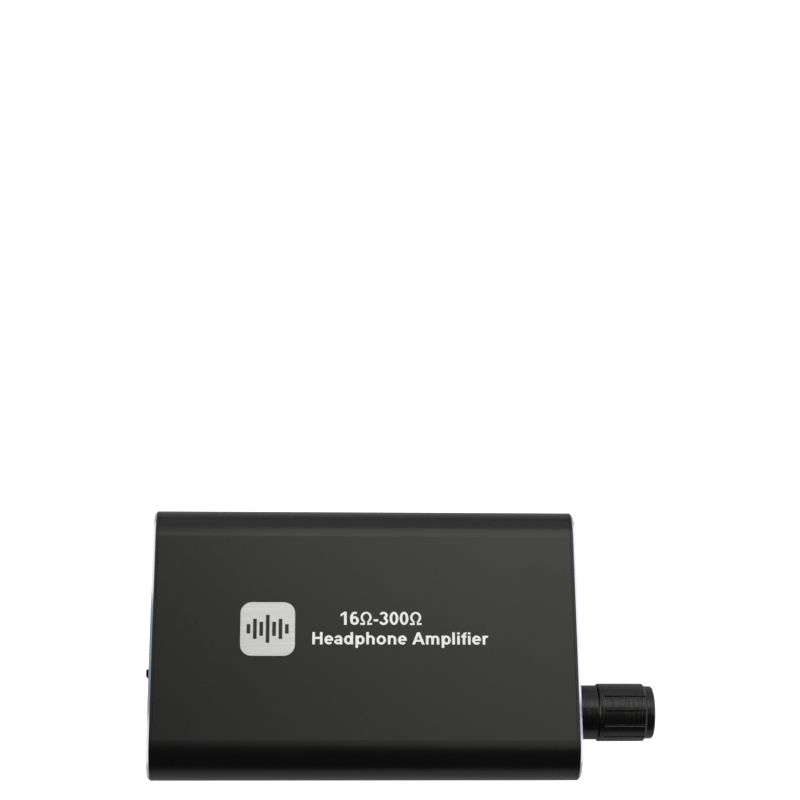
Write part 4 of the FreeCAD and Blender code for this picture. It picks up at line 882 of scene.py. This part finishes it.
    @classmethod
    def film(cls, name: str, words: str) -> bpy.types.Mesh:
        """Merges the words' strokes into one flat closed film, one capital high and one unit thick.

        Args:
            name: the mesh's name.
            words: what is printed.

        Returns:
            The mesh, from z = 0 to z = 1.
        """
        corners, loops = [], []
        for outline in cls.outlines(words):
            loops.append(list(range(len(corners), len(corners) + len(outline))))
            corners.extend(outline)
        flat = delaunay_2d_cdt(corners, [], loops, 1, 1e-5)
        shape = bmesh.new()
        points = [shape.verts.new((p.x, p.y, 0.0)) for p in flat[0]]
        for face, strokes in zip(flat[2], flat[5]):
            if strokes:
                shape.faces.new([points[i] for i in face])
        bmesh.ops.delete(shape, geom=[v for v in shape.verts if not v.link_faces], context="VERTS")
        bmesh.ops.recalc_face_normals(shape, faces=shape.faces)
        if shape.faces[0].normal.z > 0:
            bmesh.ops.reverse_faces(shape, faces=shape.faces)
        grown = bmesh.ops.extrude_face_region(shape, geom=list(shape.faces), use_keep_orig=True)
        top = [v for v in grown["geom"] if isinstance(v, bmesh.types.BMVert)]
        bmesh.ops.translate(shape, verts=top, vec=(0.0, 0.0, 1.0))
        bmesh.ops.recalc_face_normals(shape, faces=shape.faces)
        mesh = bpy.data.meshes.new(name)
        shape.to_mesh(mesh)
        shape.free()
        return mesh


@dataclass
class Print:
    """One word, or short row of words, printed on a face of the case.

    Attributes:
        name: the piece's name.
        words: what is printed.
        centre: the middle of its capitals, in metres.
        width: how wide the words are, in metres.
        cap: how tall a capital is, in metres.
        facing: the face that it is printed on.
        film: thickness of the ink, in metres.
    """

    name: str
    words: str
    centre: tuple[float, float, float]
    width: float
    cap: float
    facing: Facing = Facing.UP
    film: float = 0.015 * MM

    def build(self, ink: bpy.types.Material) -> bpy.types.Object:
        """Sets the words and lays them on the face as a film of ink."""
        mesh = Lettering.film(self.name, self.words)
        xs = [v.co.x for v in mesh.vertices]
        stretch = Matrix.Diagonal((self.width / (max(xs) - min(xs)), self.cap, self.film, 1.0))
        middle = Matrix.Translation((-(max(xs) + min(xs)) / 2, -0.5, 0.0))
        mesh.transform(Matrix.Translation(self.centre) @ self.facing.turn @ stretch @ middle)
        mesh.materials.append(ink)
        return new_piece(self.name, mesh, CASE)


class GrowthTree(Tree):
    """A Geometry Nodes tree that is grown on a few base points and then made a plain mesh."""

    def __init__(self, name: str, sizes: dict[str, float]) -> None:
        """Opens the tree.

        Args:
            name: the tree's name.
            sizes: names and values of its inputs, in metres or counts.
        """
        tree = bpy.data.node_groups.new(name, "GeometryNodeTree")
        super().__init__(tree)
        tree.interface.new_socket("Geometry", in_out="INPUT", socket_type="NodeSocketGeometry")
        for label in sizes:
            tree.interface.new_socket(label, in_out="INPUT", socket_type="NodeSocketFloat")
        tree.interface.new_socket("Finish", in_out="INPUT", socket_type="NodeSocketMaterial")
        tree.interface.new_socket("Geometry", in_out="OUTPUT", socket_type="NodeSocketGeometry")
        self.given = tree.nodes.new("NodeGroupInput").outputs
        self.result = tree.nodes.new("NodeGroupOutput").inputs
        self.sizes = sizes

    def vector(self, x: float | Socket, y: float | Socket, z: float | Socket) -> Socket:
        """Joins three numbers into a vector."""
        return self.add("ShaderNodeCombineXYZ", {0: x, 1: y, 2: z}).outputs[0]

    def attribute(self, name: str) -> Socket:
        """Reads a number of each base point."""
        node = self.add("GeometryNodeInputNamedAttribute", {"Name": name}, data_type="FLOAT")
        return node.outputs["Attribute"]

    def moved(self, shape: Socket, offset: Socket | tuple[float, float, float]) -> Socket:
        """Moves a shape by an offset."""
        return self.add("GeometryNodeTransform", {"Geometry": shape, "Translation": offset}).outputs[0]

    def end(self, shape: Socket) -> None:
        """Ends the tree: real meshes, with their finish."""
        real = self.add("GeometryNodeRealizeInstances", {0: shape}).outputs[0]
        done = self.add("GeometryNodeSetMaterial", {"Geometry": real, "Material": self.given["Finish"]})
        self.join(done.outputs[0], self.result[0])

    def grow(self, base: bpy.types.Mesh, finish: bpy.types.Material) -> bpy.types.Mesh:
        """Runs the tree on base points.

        Args:
            base: the points, with their attributes.
            finish: the material of what grows.

        Returns:
            The plain mesh.
        """
        holder = bpy.data.objects.new(self.tree.name, base)
        bpy.context.scene.collection.objects.link(holder)
        modifier = holder.modifiers.new(self.tree.name, "NODES")
        modifier.node_group = self.tree
        for item in self.tree.interface.items_tree:
            if item.in_out == "INPUT" and item.name in self.sizes:
                modifier[item.identifier] = self.sizes[item.name]
            elif item.in_out == "INPUT" and item.name == "Finish":
                modifier[item.identifier] = finish
        return plain_mesh(holder)


def base_points(places: Sequence[Vector], **attributes: Sequence[float]) -> bpy.types.Mesh:
    """Makes the points that a growth tree starts from.

    Args:
        places: where they are, in metres.
        attributes: numbers of each point, by name.

    Returns:
        A mesh of points only.
    """
    mesh = bpy.data.meshes.new("base_points")
    mesh.from_pydata([tuple(p) for p in places], [], [])
    for name, numbers in attributes.items():
        mesh.attributes.new(name, "FLOAT", "POINT").data.foreach_set("value", list(numbers))
    return mesh


@dataclass
class Case:
    """The extruded tube and its two end plates.

    Attributes:
        cut_lean: the least and greatest share of X in the normal of a plate's cut edge.
        cut_depth: how far the cut edge reaches back from the plate's outer face, in metres.
    """

    cut_lean: tuple[float, float] = (0.6, 0.8)
    cut_depth: float = 0.0006

    def build(self) -> None:
        """Dresses the tube in anodising, and the plates in it with a bare cut edge."""
        dress("case_tube", CASE_FINISH)
        plate, cut = PLATE_FINISH.build(), CUT_FINISH.build()
        for node in ("front_plate", "rear_plate"):
            dress(node, plate)
            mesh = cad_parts[node].data
            mesh.materials.append(cut)
            outer = max(abs(v.co.x) for v in mesh.vertices)
            for face in mesh.polygons:
                leans = self.cut_lean[0] < abs(face.normal.x) < self.cut_lean[1]
                near = abs(face.center.x) > outer - self.cut_depth
                if leans and near:
                    face.material_index = 1


@dataclass
class EndScrews:
    """The four cross-head screws of the end plates.

    Attributes:
        head: radius of the head, in metres.
        sink: height of the wedge under the crown, in metres.
        crown: height of the crowned top above the wedge, in metres.
        crown_share: radius of the crown's flat top, as a share of the head's.
        cross: length, width and depth of the cross, in metres.
        shank: radius and length of the shank, in metres.
        turns: how far each screw happens to be turned, in radians.
        sides: corners round the head and round the shank.
    """

    head: float = 1.78 * MM
    sink: float = 1.0 * MM
    crown: float = 0.12 * MM
    crown_share: float = 0.82
    cross: tuple[float, float, float] = (1.9 * MM, 0.46 * MM, 0.55 * MM)
    shank: tuple[float, float] = (0.9 * MM, 4.0 * MM)
    turns: tuple[float, ...] = (0.3, 1.1, 0.75, 0.15)
    sides: tuple[int, int] = (48, 24)

    def build(self) -> None:
        """Grows the screws on the CAD screws' places and hides those."""
        low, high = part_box("plate_screws")
        y = high.y - self.head
        z = (low.z + high.z) / 2
        places = [Vector((x, s * y, z)) for x in (low.x, high.x) for s in (-1, 1)]
        facing = [math.copysign(1.0, p.x) for p in places]
        base = base_points(places, facing=facing, turn=self.turns)
        mesh = self.tree().grow(base, SCREW_FINISH.build())
        new_piece("end_screws", mesh, CASE, ("plate_screws",))

    def tree(self) -> GrowthTree:
        """Builds the screw's tree.

        Returns:
            A tree that puts a screw, head outwards, at each base point.
        """
        length, width, depth = self.cross
        shank, reach = self.shank
        round_head, round_shank = self.sides
        t = GrowthTree(
            "screw_growth",
            {"Head Radius": self.head, "Sink": self.sink, "Crown": self.crown, "Cross Length": length,
             "Cross Width": width, "Cross Depth": depth, "Shank Radius": shank, "Shank Length": reach},
        )
        g = t.given
        wedge = t.add(
            "GeometryNodeMeshCone",
            {"Vertices": round_head, "Radius Top": g["Head Radius"],
             "Radius Bottom": g["Shank Radius"], "Depth": g["Sink"]},
        ).outputs["Mesh"]
        foot = t.math("SUBTRACT", t.math("MULTIPLY", g["Sink"], -1.0), g["Crown"])
        wedge = t.moved(wedge, t.vector(0.0, 0.0, foot))
        rounded = t.math("MULTIPLY", g["Head Radius"], self.crown_share)
        crown = t.add(
            "GeometryNodeMeshCone",
            {"Vertices": round_head, "Radius Top": rounded,
             "Radius Bottom": g["Head Radius"], "Depth": g["Crown"]},
        ).outputs["Mesh"]
        crown = t.moved(crown, t.vector(0.0, 0.0, t.math("MULTIPLY", g["Crown"], -1.0)))
        stem = t.add(
            "GeometryNodeMeshCylinder",
            {"Vertices": round_shank, "Radius": g["Shank Radius"], "Depth": g["Shank Length"]},
        ).outputs["Mesh"]
        half = t.math("MULTIPLY", g["Shank Length"], -0.5)
        stem = t.moved(stem, t.vector(0.0, 0.0, t.math("SUBTRACT", half, g["Sink"])))
        whole = t.add("GeometryNodeMeshBoolean", operation="UNION", solver="EXACT")
        for part in (stem, crown, wedge):
            t.join(part, whole.inputs["Mesh 2"])
        bars = []
        for size in ((g["Cross Length"], g["Cross Width"]), (g["Cross Width"], g["Cross Length"])):
            deep = t.math("MULTIPLY", g["Cross Depth"], 2.0)
            block = t.add("GeometryNodeMeshCube", {"Size": t.vector(size[0], size[1], deep)})
            bars.append(block.outputs["Mesh"])
        cut = t.add("GeometryNodeMeshBoolean", operation="DIFFERENCE", solver="EXACT")
        t.join(whole.outputs["Mesh"], cut.inputs["Mesh 1"])
        for bar in bars:
            t.join(bar, cut.inputs["Mesh 2"])
        lean = t.math("MULTIPLY", t.attribute("facing"), math.pi / 2)
        turned = t.add("FunctionNodeEulerToRotation", {0: t.vector(0.0, 0.0, t.attribute("turn"))}).outputs[0]
        laid = t.add("FunctionNodeEulerToRotation", {0: t.vector(0.0, lean, 0.0)}).outputs[0]
        both = t.add("FunctionNodeRotateRotation", {0: laid, 1: turned}, rotation_space="LOCAL").outputs[0]
        put = t.add(
            "GeometryNodeInstanceOnPoints",
            {"Points": g["Geometry"], "Instance": cut.outputs["Mesh"], "Rotation": both},
        ).outputs[0]
        t.end(put)
        return t


@dataclass
class Badge:
    """The brushed plate in the top, with a row of level bars in black enamel.

    Attributes:
        heights: each bar's share of the tallest.
        tall: height of the tallest bar, in metres.
        stroke: width of a bar, in metres.
        span: width of the whole row, in metres.
        film: thickness of the enamel, in metres.
    """

    heights: tuple[float, ...] = (0.34, 0.72, 0.5, 1.0, 0.5, 0.72, 0.34)
    tall: float = 6.4 * MM
    stroke: float = 0.82 * MM
    span: float = 9.4 * MM
    film: float = 0.015 * MM

    def build(self) -> None:
        """Dresses the plate and grows its bars."""
        dress("badge_plate", BADGE_FINISH)
        low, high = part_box("badge_plate")
        middle = (low + high) / 2
        count = len(self.heights)
        pitch = (self.span - self.stroke) / (count - 1)
        places = [Vector((middle.x + pitch * (i - (count - 1) / 2), middle.y, high.z)) for i in range(count)]
        base = base_points(places, tall=[h * self.tall for h in self.heights])
        t = GrowthTree("level_bars", {"Stroke": self.stroke, "Film": self.film})
        put = t.add("GeometryNodeMeshToPoints", {"Mesh": t.given["Geometry"]}).outputs[0]
        bars = self.bar(t)
        sized = t.vector(1.0, t.attribute("tall"), 1.0)
        grown = t.add("GeometryNodeInstanceOnPoints", {"Points": put, "Instance": bars, "Scale": sized})
        t.end(grown.outputs[0])
        new_piece("badge_mark", t.grow(base, INK_BLACK.build()), CASE)

    def bar(self, t: GrowthTree) -> Socket:
        """Draws one bar a metre tall, with its foot on the plate.

        Args:
            t: the tree that it goes in.

        Returns:
            The socket with the bar's mesh.
        """
        size = t.vector(t.given["Stroke"], 1.0, t.given["Film"])
        cube = t.add("GeometryNodeMeshCube", {"Size": size}).outputs["Mesh"]
        return t.moved(cube, t.vector(0.0, 0.0, t.math("MULTIPLY", t.given["Film"], 0.5)))


@dataclass
class TopPrint:
    """The two printed lines on the top.

    Attributes:
        top: height of the case's top, in metres.
        rating: middle along X and Y, width and capital height of the rating, in metres.
        title: the same of the object's plain name.
    """

    top: float = 15.2 * MM
    rating: tuple[float, float, float, float] = (3.5 * MM, 4.18 * MM, 18.2 * MM, 3.0 * MM)
    title: tuple[float, float, float, float] = (7.85 * MM, -0.38 * MM, 39.5 * MM, 2.78 * MM)

    def build(self) -> None:
        """Prints both lines in white."""
        ink = INK_WHITE.build()
        lines = {
            "rating_print": ("16Ω-300Ω", self.rating),
            "name_print": ("Headphone Amplifier", self.title),
        }
        for name, (words, (x, y, width, cap)) in lines.items():
            Print(name, words, (x, y, self.top), width, cap).build(ink)


@dataclass(frozen=True)
class Legend:
    """A small word over a part of an end plate.

    Attributes:
        name: the piece's name.
        words: what it says.
        node: the part that it names.
        above: how far above the plate's middle it stands, in metres.
        facing: the plate's way out.
    """

    name: str
    words: str
    node: str
    above: float
    facing: Facing


@dataclass
class PanelPrint:
    """The small legends and the volume dots on the end plates.

    Attributes:
        cap: height of the legends' capitals, in metres.
        middle: height of the plates' middle, in metres.
        legends: the small words.
        dots: how many volume dots there are.
        ring: radius of the ring that they stand on, in metres.
        sweep: the angle that they cover, in radians.
        dot: radius of the smallest and largest dot, in metres.
        film: thickness of the ink, in metres.
    """

    cap: float = 1.25 * MM
    middle: float = 7.6 * MM
    legends: tuple[Legend, ...] = (
        Legend("legend_out", "OUT", "output_jack", 4.6 * MM, Facing.FRONT),
        Legend("legend_in", "IN", "input_jack", 4.6 * MM, Facing.FRONT),
        Legend("legend_gain", "GAIN", "gain_slider", 3.4 * MM, Facing.REAR),
        Legend("legend_charge", "5V IN", "charging_shell", 3.6 * MM, Facing.REAR),
    )
    dots: int = 9
    ring: float = 6.6 * MM
    sweep: float = math.radians(240.0)
    dot: tuple[float, float] = (0.1 * MM, 0.25 * MM)
    dot_sides: int = 20
    film: float = 0.015 * MM

    def build(self) -> None:
        """Prints the legends and grows the dots."""
        ink = INK_WHITE.build()
        planes = {Facing.FRONT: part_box("front_plate")[1].x, Facing.REAR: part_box("rear_plate")[0].x}
        for legend in self.legends:
            self.print_legend(legend, planes[legend.facing], ink)
        self.volume_dots(planes[Facing.FRONT], ink)

    def volume_dots(self, plane: float, ink: bpy.types.Material) -> None:
        """Grows the dots round the knob, from small to large the way that it turns up.

        Args:
            plane: the front plate's outer face along X, in metres.
            ink: the print's material.
        """
        low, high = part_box("volume_knob")
        middle = (low + high) / 2
        places, widths = [], []
        for i in range(self.dots):
            share = i / (self.dots - 1)
            angle = math.pi / 2 - self.sweep * (share - 0.5)
            across, up = self.ring * math.cos(angle), self.ring * math.sin(angle)
            places.append(Vector((plane, middle.y + across, middle.z + up)))
            widths.append(self.dot[0] + (self.dot[1] - self.dot[0]) * share)
        t = GrowthTree("dot_growth", {"Film": self.film})
        film = t.given["Film"]
        disc = t.add("GeometryNodeMeshCylinder", {"Vertices": self.dot_sides, "Radius": 1.0, "Depth": film})
        disc = t.moved(disc.outputs["Mesh"], t.vector(0.0, 0.0, t.math("MULTIPLY", film, 0.5)))
        wide = t.attribute("wide")
        put = t.add(
            "GeometryNodeInstanceOnPoints",
            {"Points": t.given["Geometry"], "Instance": disc, "Rotation": (0.0, math.pi / 2, 0.0),
             "Scale": t.vector(wide, wide, 1.0)},
        ).outputs[0]
        t.end(put)
        new_piece("volume_dots", t.grow(base_points(places, wide=widths), ink), CASE)

    def print_legend(self, legend: Legend, plane: float, ink: bpy.types.Material) -> None:
        """Prints one legend over its part.

        Args:
            legend: the word and its place.
            plane: the plate's outer face along X, in metres.
            ink: the print's material.
        """
        low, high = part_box(legend.node)
        centre = (plane, (low.y + high.y) / 2, self.middle + legend.above)
        signs = [Lettering.SPACE if c == " " else Lettering.GLYPHS[c].advance for c in legend.words]
        Print(legend.name, legend.words, centre, self.cap * sum(signs), self.cap, legend.facing).build(ink)


@dataclass
class Inside:
    """Every other CAD part, dressed by its material slot.

    Attributes:
        done: the parts that the other classes dress or replace.
    """

    done: tuple[str, ...] = (
        "case_tube", "front_plate", "rear_plate", "badge_plate", "volume_knob", "plate_screws",
    )

    def build(self) -> None:
        """Dresses the parts that the other classes leave."""
        finishes = {**INNER_FINISHES, "screw_steel": SCREW_FINISH}
        made = {slot: finish.build() for slot, finish in finishes.items()}
        for name, node in sorted(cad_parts.items()):
            if name not in self.done:
                dress(name, made[node.data.materials[0].name.split(".")[0]])


@dataclass
class Knob:
    """The turned volume knob."""

    def build(self) -> None:
        """Dresses the knob in turned anodising."""
        dress("volume_knob", KNOB_FINISH)


# ---------------------------------------------------------------- studio


@dataclass
class Softbox:
    """A soft rectangular light.

    Attributes:
        name: the light's name.
        place: where its middle is, in metres.
        aim: the point that it faces.
        size: its two sides, in metres.
        power: its output in watts.
        colour: its tint.
    """

    name: str
    place: tuple[float, float, float]
    aim: tuple[float, float, float]
    size: tuple[float, float]
    power: float
    colour: Colour = (1.0, 1.0, 1.0)

    def build(self) -> None:
        """Hangs the light."""
        light = bpy.data.lights.new(self.name, "AREA")
        light.shape = "RECTANGLE"
        light.size, light.size_y = self.size
        light.energy = self.power
        light.color = self.colour
        holder = bpy.data.objects.new(self.name, light)
        bpy.context.scene.collection.objects.link(holder)
        way = Vector(self.aim) - Vector(self.place)
        holder.location = self.place
        holder.rotation_euler = way.to_track_quat("-Z", "Y").to_euler()


@dataclass
class Card:
    """A slanted card beside the case that shows only in its shiny edges.

    Attributes:
        name: the card's name.
        side: 1 for the knob's side and -1 for the other.
        across: where it starts and ends along Y, in metres.
        colour: its brightness and tint.
        near: distance from the middle and height of its near edge, in metres.
        far: the same of its far edge.
    """

    name: str
    side: int
    across: tuple[float, float]
    colour: Colour
    near: tuple[float, float] = (0.075, 0.001)
    far: tuple[float, float] = (0.5, 0.24)

    def build(self) -> None:
        """Stands the card up."""
        edges = [(self.near, self.across), (self.far, self.across[::-1])]
        corners = [(self.side * place[0], y, place[1]) for place, ys in edges for y in ys]
        mesh = bpy.data.meshes.new(self.name)
        mesh.from_pydata(corners, [], [(0, 1, 2, 3)])
        material = bpy.data.materials.new(self.name)
        material.use_nodes = True
        material.cycles.emission_sampling = "NONE"
        material.node_tree.nodes.clear()
        tree = Tree(material.node_tree)
        glow = tree.add("ShaderNodeEmission", {"Color": (*self.colour, 1.0), "Strength": 1.0})
        tree.add("ShaderNodeOutputMaterial", {"Surface": glow.outputs[0]})
        mesh.materials.append(material)
        card = bpy.data.objects.new(self.name, mesh)
        bpy.context.scene.collection.objects.link(card)
        card.visible_camera = card.visible_diffuse = card.visible_shadow = card.visible_transmission = False


@dataclass
class Studio:
    """The pale floor, the soft lights and the camera.

    Attributes:
        eye: the camera's place, in metres.
        tilt: the camera's turns about X, Y and Z, in degrees.
        lens: its focal length, in millimetres.
        sensor: width of its sensor, in millimetres.
        reach: nearest and farthest distance that it sees, in metres.
        floor_half: how far the floor reaches to the sides and the rear, in metres.
        floor_front: where it ends in front, in metres.
        floor_drop: how far it lies under the case, in metres, so that the two faces never coincide.
        floor_colour: the floor's colour.
        floor_glow: light that the floor gives of itself, so that it stays pale.
        room: brightness of the room away from the lights.
    """

    eye: tuple[float, float, float] = (-0.013354, -0.096598, 0.451671)
    tilt: tuple[float, float, float] = (19.2926, -2.6627, -0.4591)
    lens: float = 89.24
    sensor: float = 36.0
    reach: tuple[float, float] = (0.01, 50.0)
    floor_half: float = 8.0
    floor_front: float = -0.13
    floor_drop: float = 0.03 * MM
    floor_colour: Colour = (0.55, 0.55, 0.556)
    floor_glow: float = 1.0
    room: float = 0.06

    def build(self) -> None:
        """Sets up the camera, the floor, the lights and the room."""
        self.camera()
        self.floor()
        self.world()
        middle, warm, cool = (0.0, 0.0, 0.0), (1.0, 0.993, 0.96), (0.98, 0.985, 1.0)
        for light in (
            Softbox("rear_softbox", (0.34, 0.66, 1.33), middle, (1.12, 0.74), 4.4, warm),
            Softbox("top_softbox", (0.19, 0.1, 1.48), middle, (1.32, 0.5), 1.5, warm),
            Softbox("rear_wall_glow", (0.2, 1.9, 1.05), (0.0, 0.3, 0.3), (3.4, 1.9), 12.0),
            Softbox("right_softbox", (1.7, -0.1, 1.1), middle, (1.0, 1.2), 22.0, cool),
            Softbox("left_softbox", (-1.8, 0.0, 1.3), middle, (1.0, 1.2), 19.0),
            Card("right_card", 1, (-0.045, 0.055), (0.88, 0.89, 1.05)),
            Card("left_front_card", -1, (-0.25, -0.01), (0.84, 0.82, 0.9)),
            Card("left_middle_card", -1, (-0.01, 0.02), (0.2, 0.23, 0.31)),
            Card("left_rear_card", -1, (0.02, 0.3), (0.86, 0.84, 0.9)),
        ):
            light.build()
        bpy.context.scene.view_settings.view_transform = "Standard"

    def camera(self) -> None:
        """Stands the camera over the front of the case."""
        data = bpy.data.cameras.new("camera")
        data.lens = self.lens
        data.sensor_width = self.sensor
        data.clip_start, data.clip_end = self.reach
        holder = bpy.data.objects.new("camera", data)
        bpy.context.scene.collection.objects.link(holder)
        holder.location = self.eye
        holder.rotation_euler = [math.radians(a) for a in self.tilt]
        bpy.context.scene.camera = holder

    def floor(self) -> None:
        """Lays the plain pale floor under the case."""
        half, front = self.floor_half, self.floor_front
        mesh = bpy.data.meshes.new("studio_floor")
        drop = -self.floor_drop
        corners = [(-half, front, drop), (half, front, drop), (half, half, drop), (-half, half, drop)]
        mesh.from_pydata(corners, [], [(0, 1, 2, 3)])
        material = bpy.data.materials.new("floor_pale")
        material.use_nodes = True
        shader = material.node_tree.nodes["Principled BSDF"]
        shader.inputs["Base Color"].default_value = (*self.floor_colour, 1.0)
        shader.inputs["Roughness"].default_value = 0.9
        shader.inputs["Specular IOR Level"].default_value = 0.1
        shader.inputs["Emission Color"].default_value = (1.0, 1.0, 1.0, 1.0)
        tree = Tree(material.node_tree)
        seen = tree.add("ShaderNodeLightPath").outputs["Is Camera Ray"]
        tree.join(tree.math("MULTIPLY", seen, self.floor_glow), shader.inputs["Emission Strength"])
        below = tree.add("ShaderNodeNewGeometry").outputs["Backfacing"]
        clear = tree.add("ShaderNodeBsdfTransparent").outputs[0]
        either = tree.add("ShaderNodeMixShader", {0: below, 1: shader.outputs[0], 2: clear}).outputs[0]
        tree.join(either, material.node_tree.nodes["Material Output"].inputs["Surface"])
        mesh.materials.append(material)
        floor = bpy.data.objects.new("studio_floor", mesh)
        bpy.context.scene.collection.objects.link(floor)

    def world(self) -> None:
        """Makes the room pale to the camera and dim to everything else."""
        world = bpy.data.worlds.new("studio_room")
        world.use_nodes = True
        bpy.context.scene.world = world
        world.node_tree.nodes.clear()
        tree = Tree(world.node_tree)
        dim = tree.add("ShaderNodeBackground", {"Color": (1.0, 1.0, 1.0, 1.0), "Strength": self.room})
        pale = tree.add("ShaderNodeBackground", {"Color": (1.0, 1.0, 1.0, 1.0), "Strength": 1.0})
        seen = tree.add("ShaderNodeLightPath").outputs["Is Camera Ray"]
        both = tree.add("ShaderNodeMixShader", {0: seen, 1: dim.outputs[0], 2: pale.outputs[0]})
        tree.add("ShaderNodeOutputWorld", {"Surface": both.outputs[0]})


def main() -> None:
    """Builds the sub-assemblies and the studio in order."""
    logging.basicConfig(level=logging.INFO, format="%(name)s: %(message)s")
    for part in (Case(), EndScrews(), Badge(), TopPrint(), PanelPrint(), Knob(), Inside(), Studio()):
        part.build()
        LOG.info("%s done", type(part).__name__)


if __name__ == "__main__":
    main()
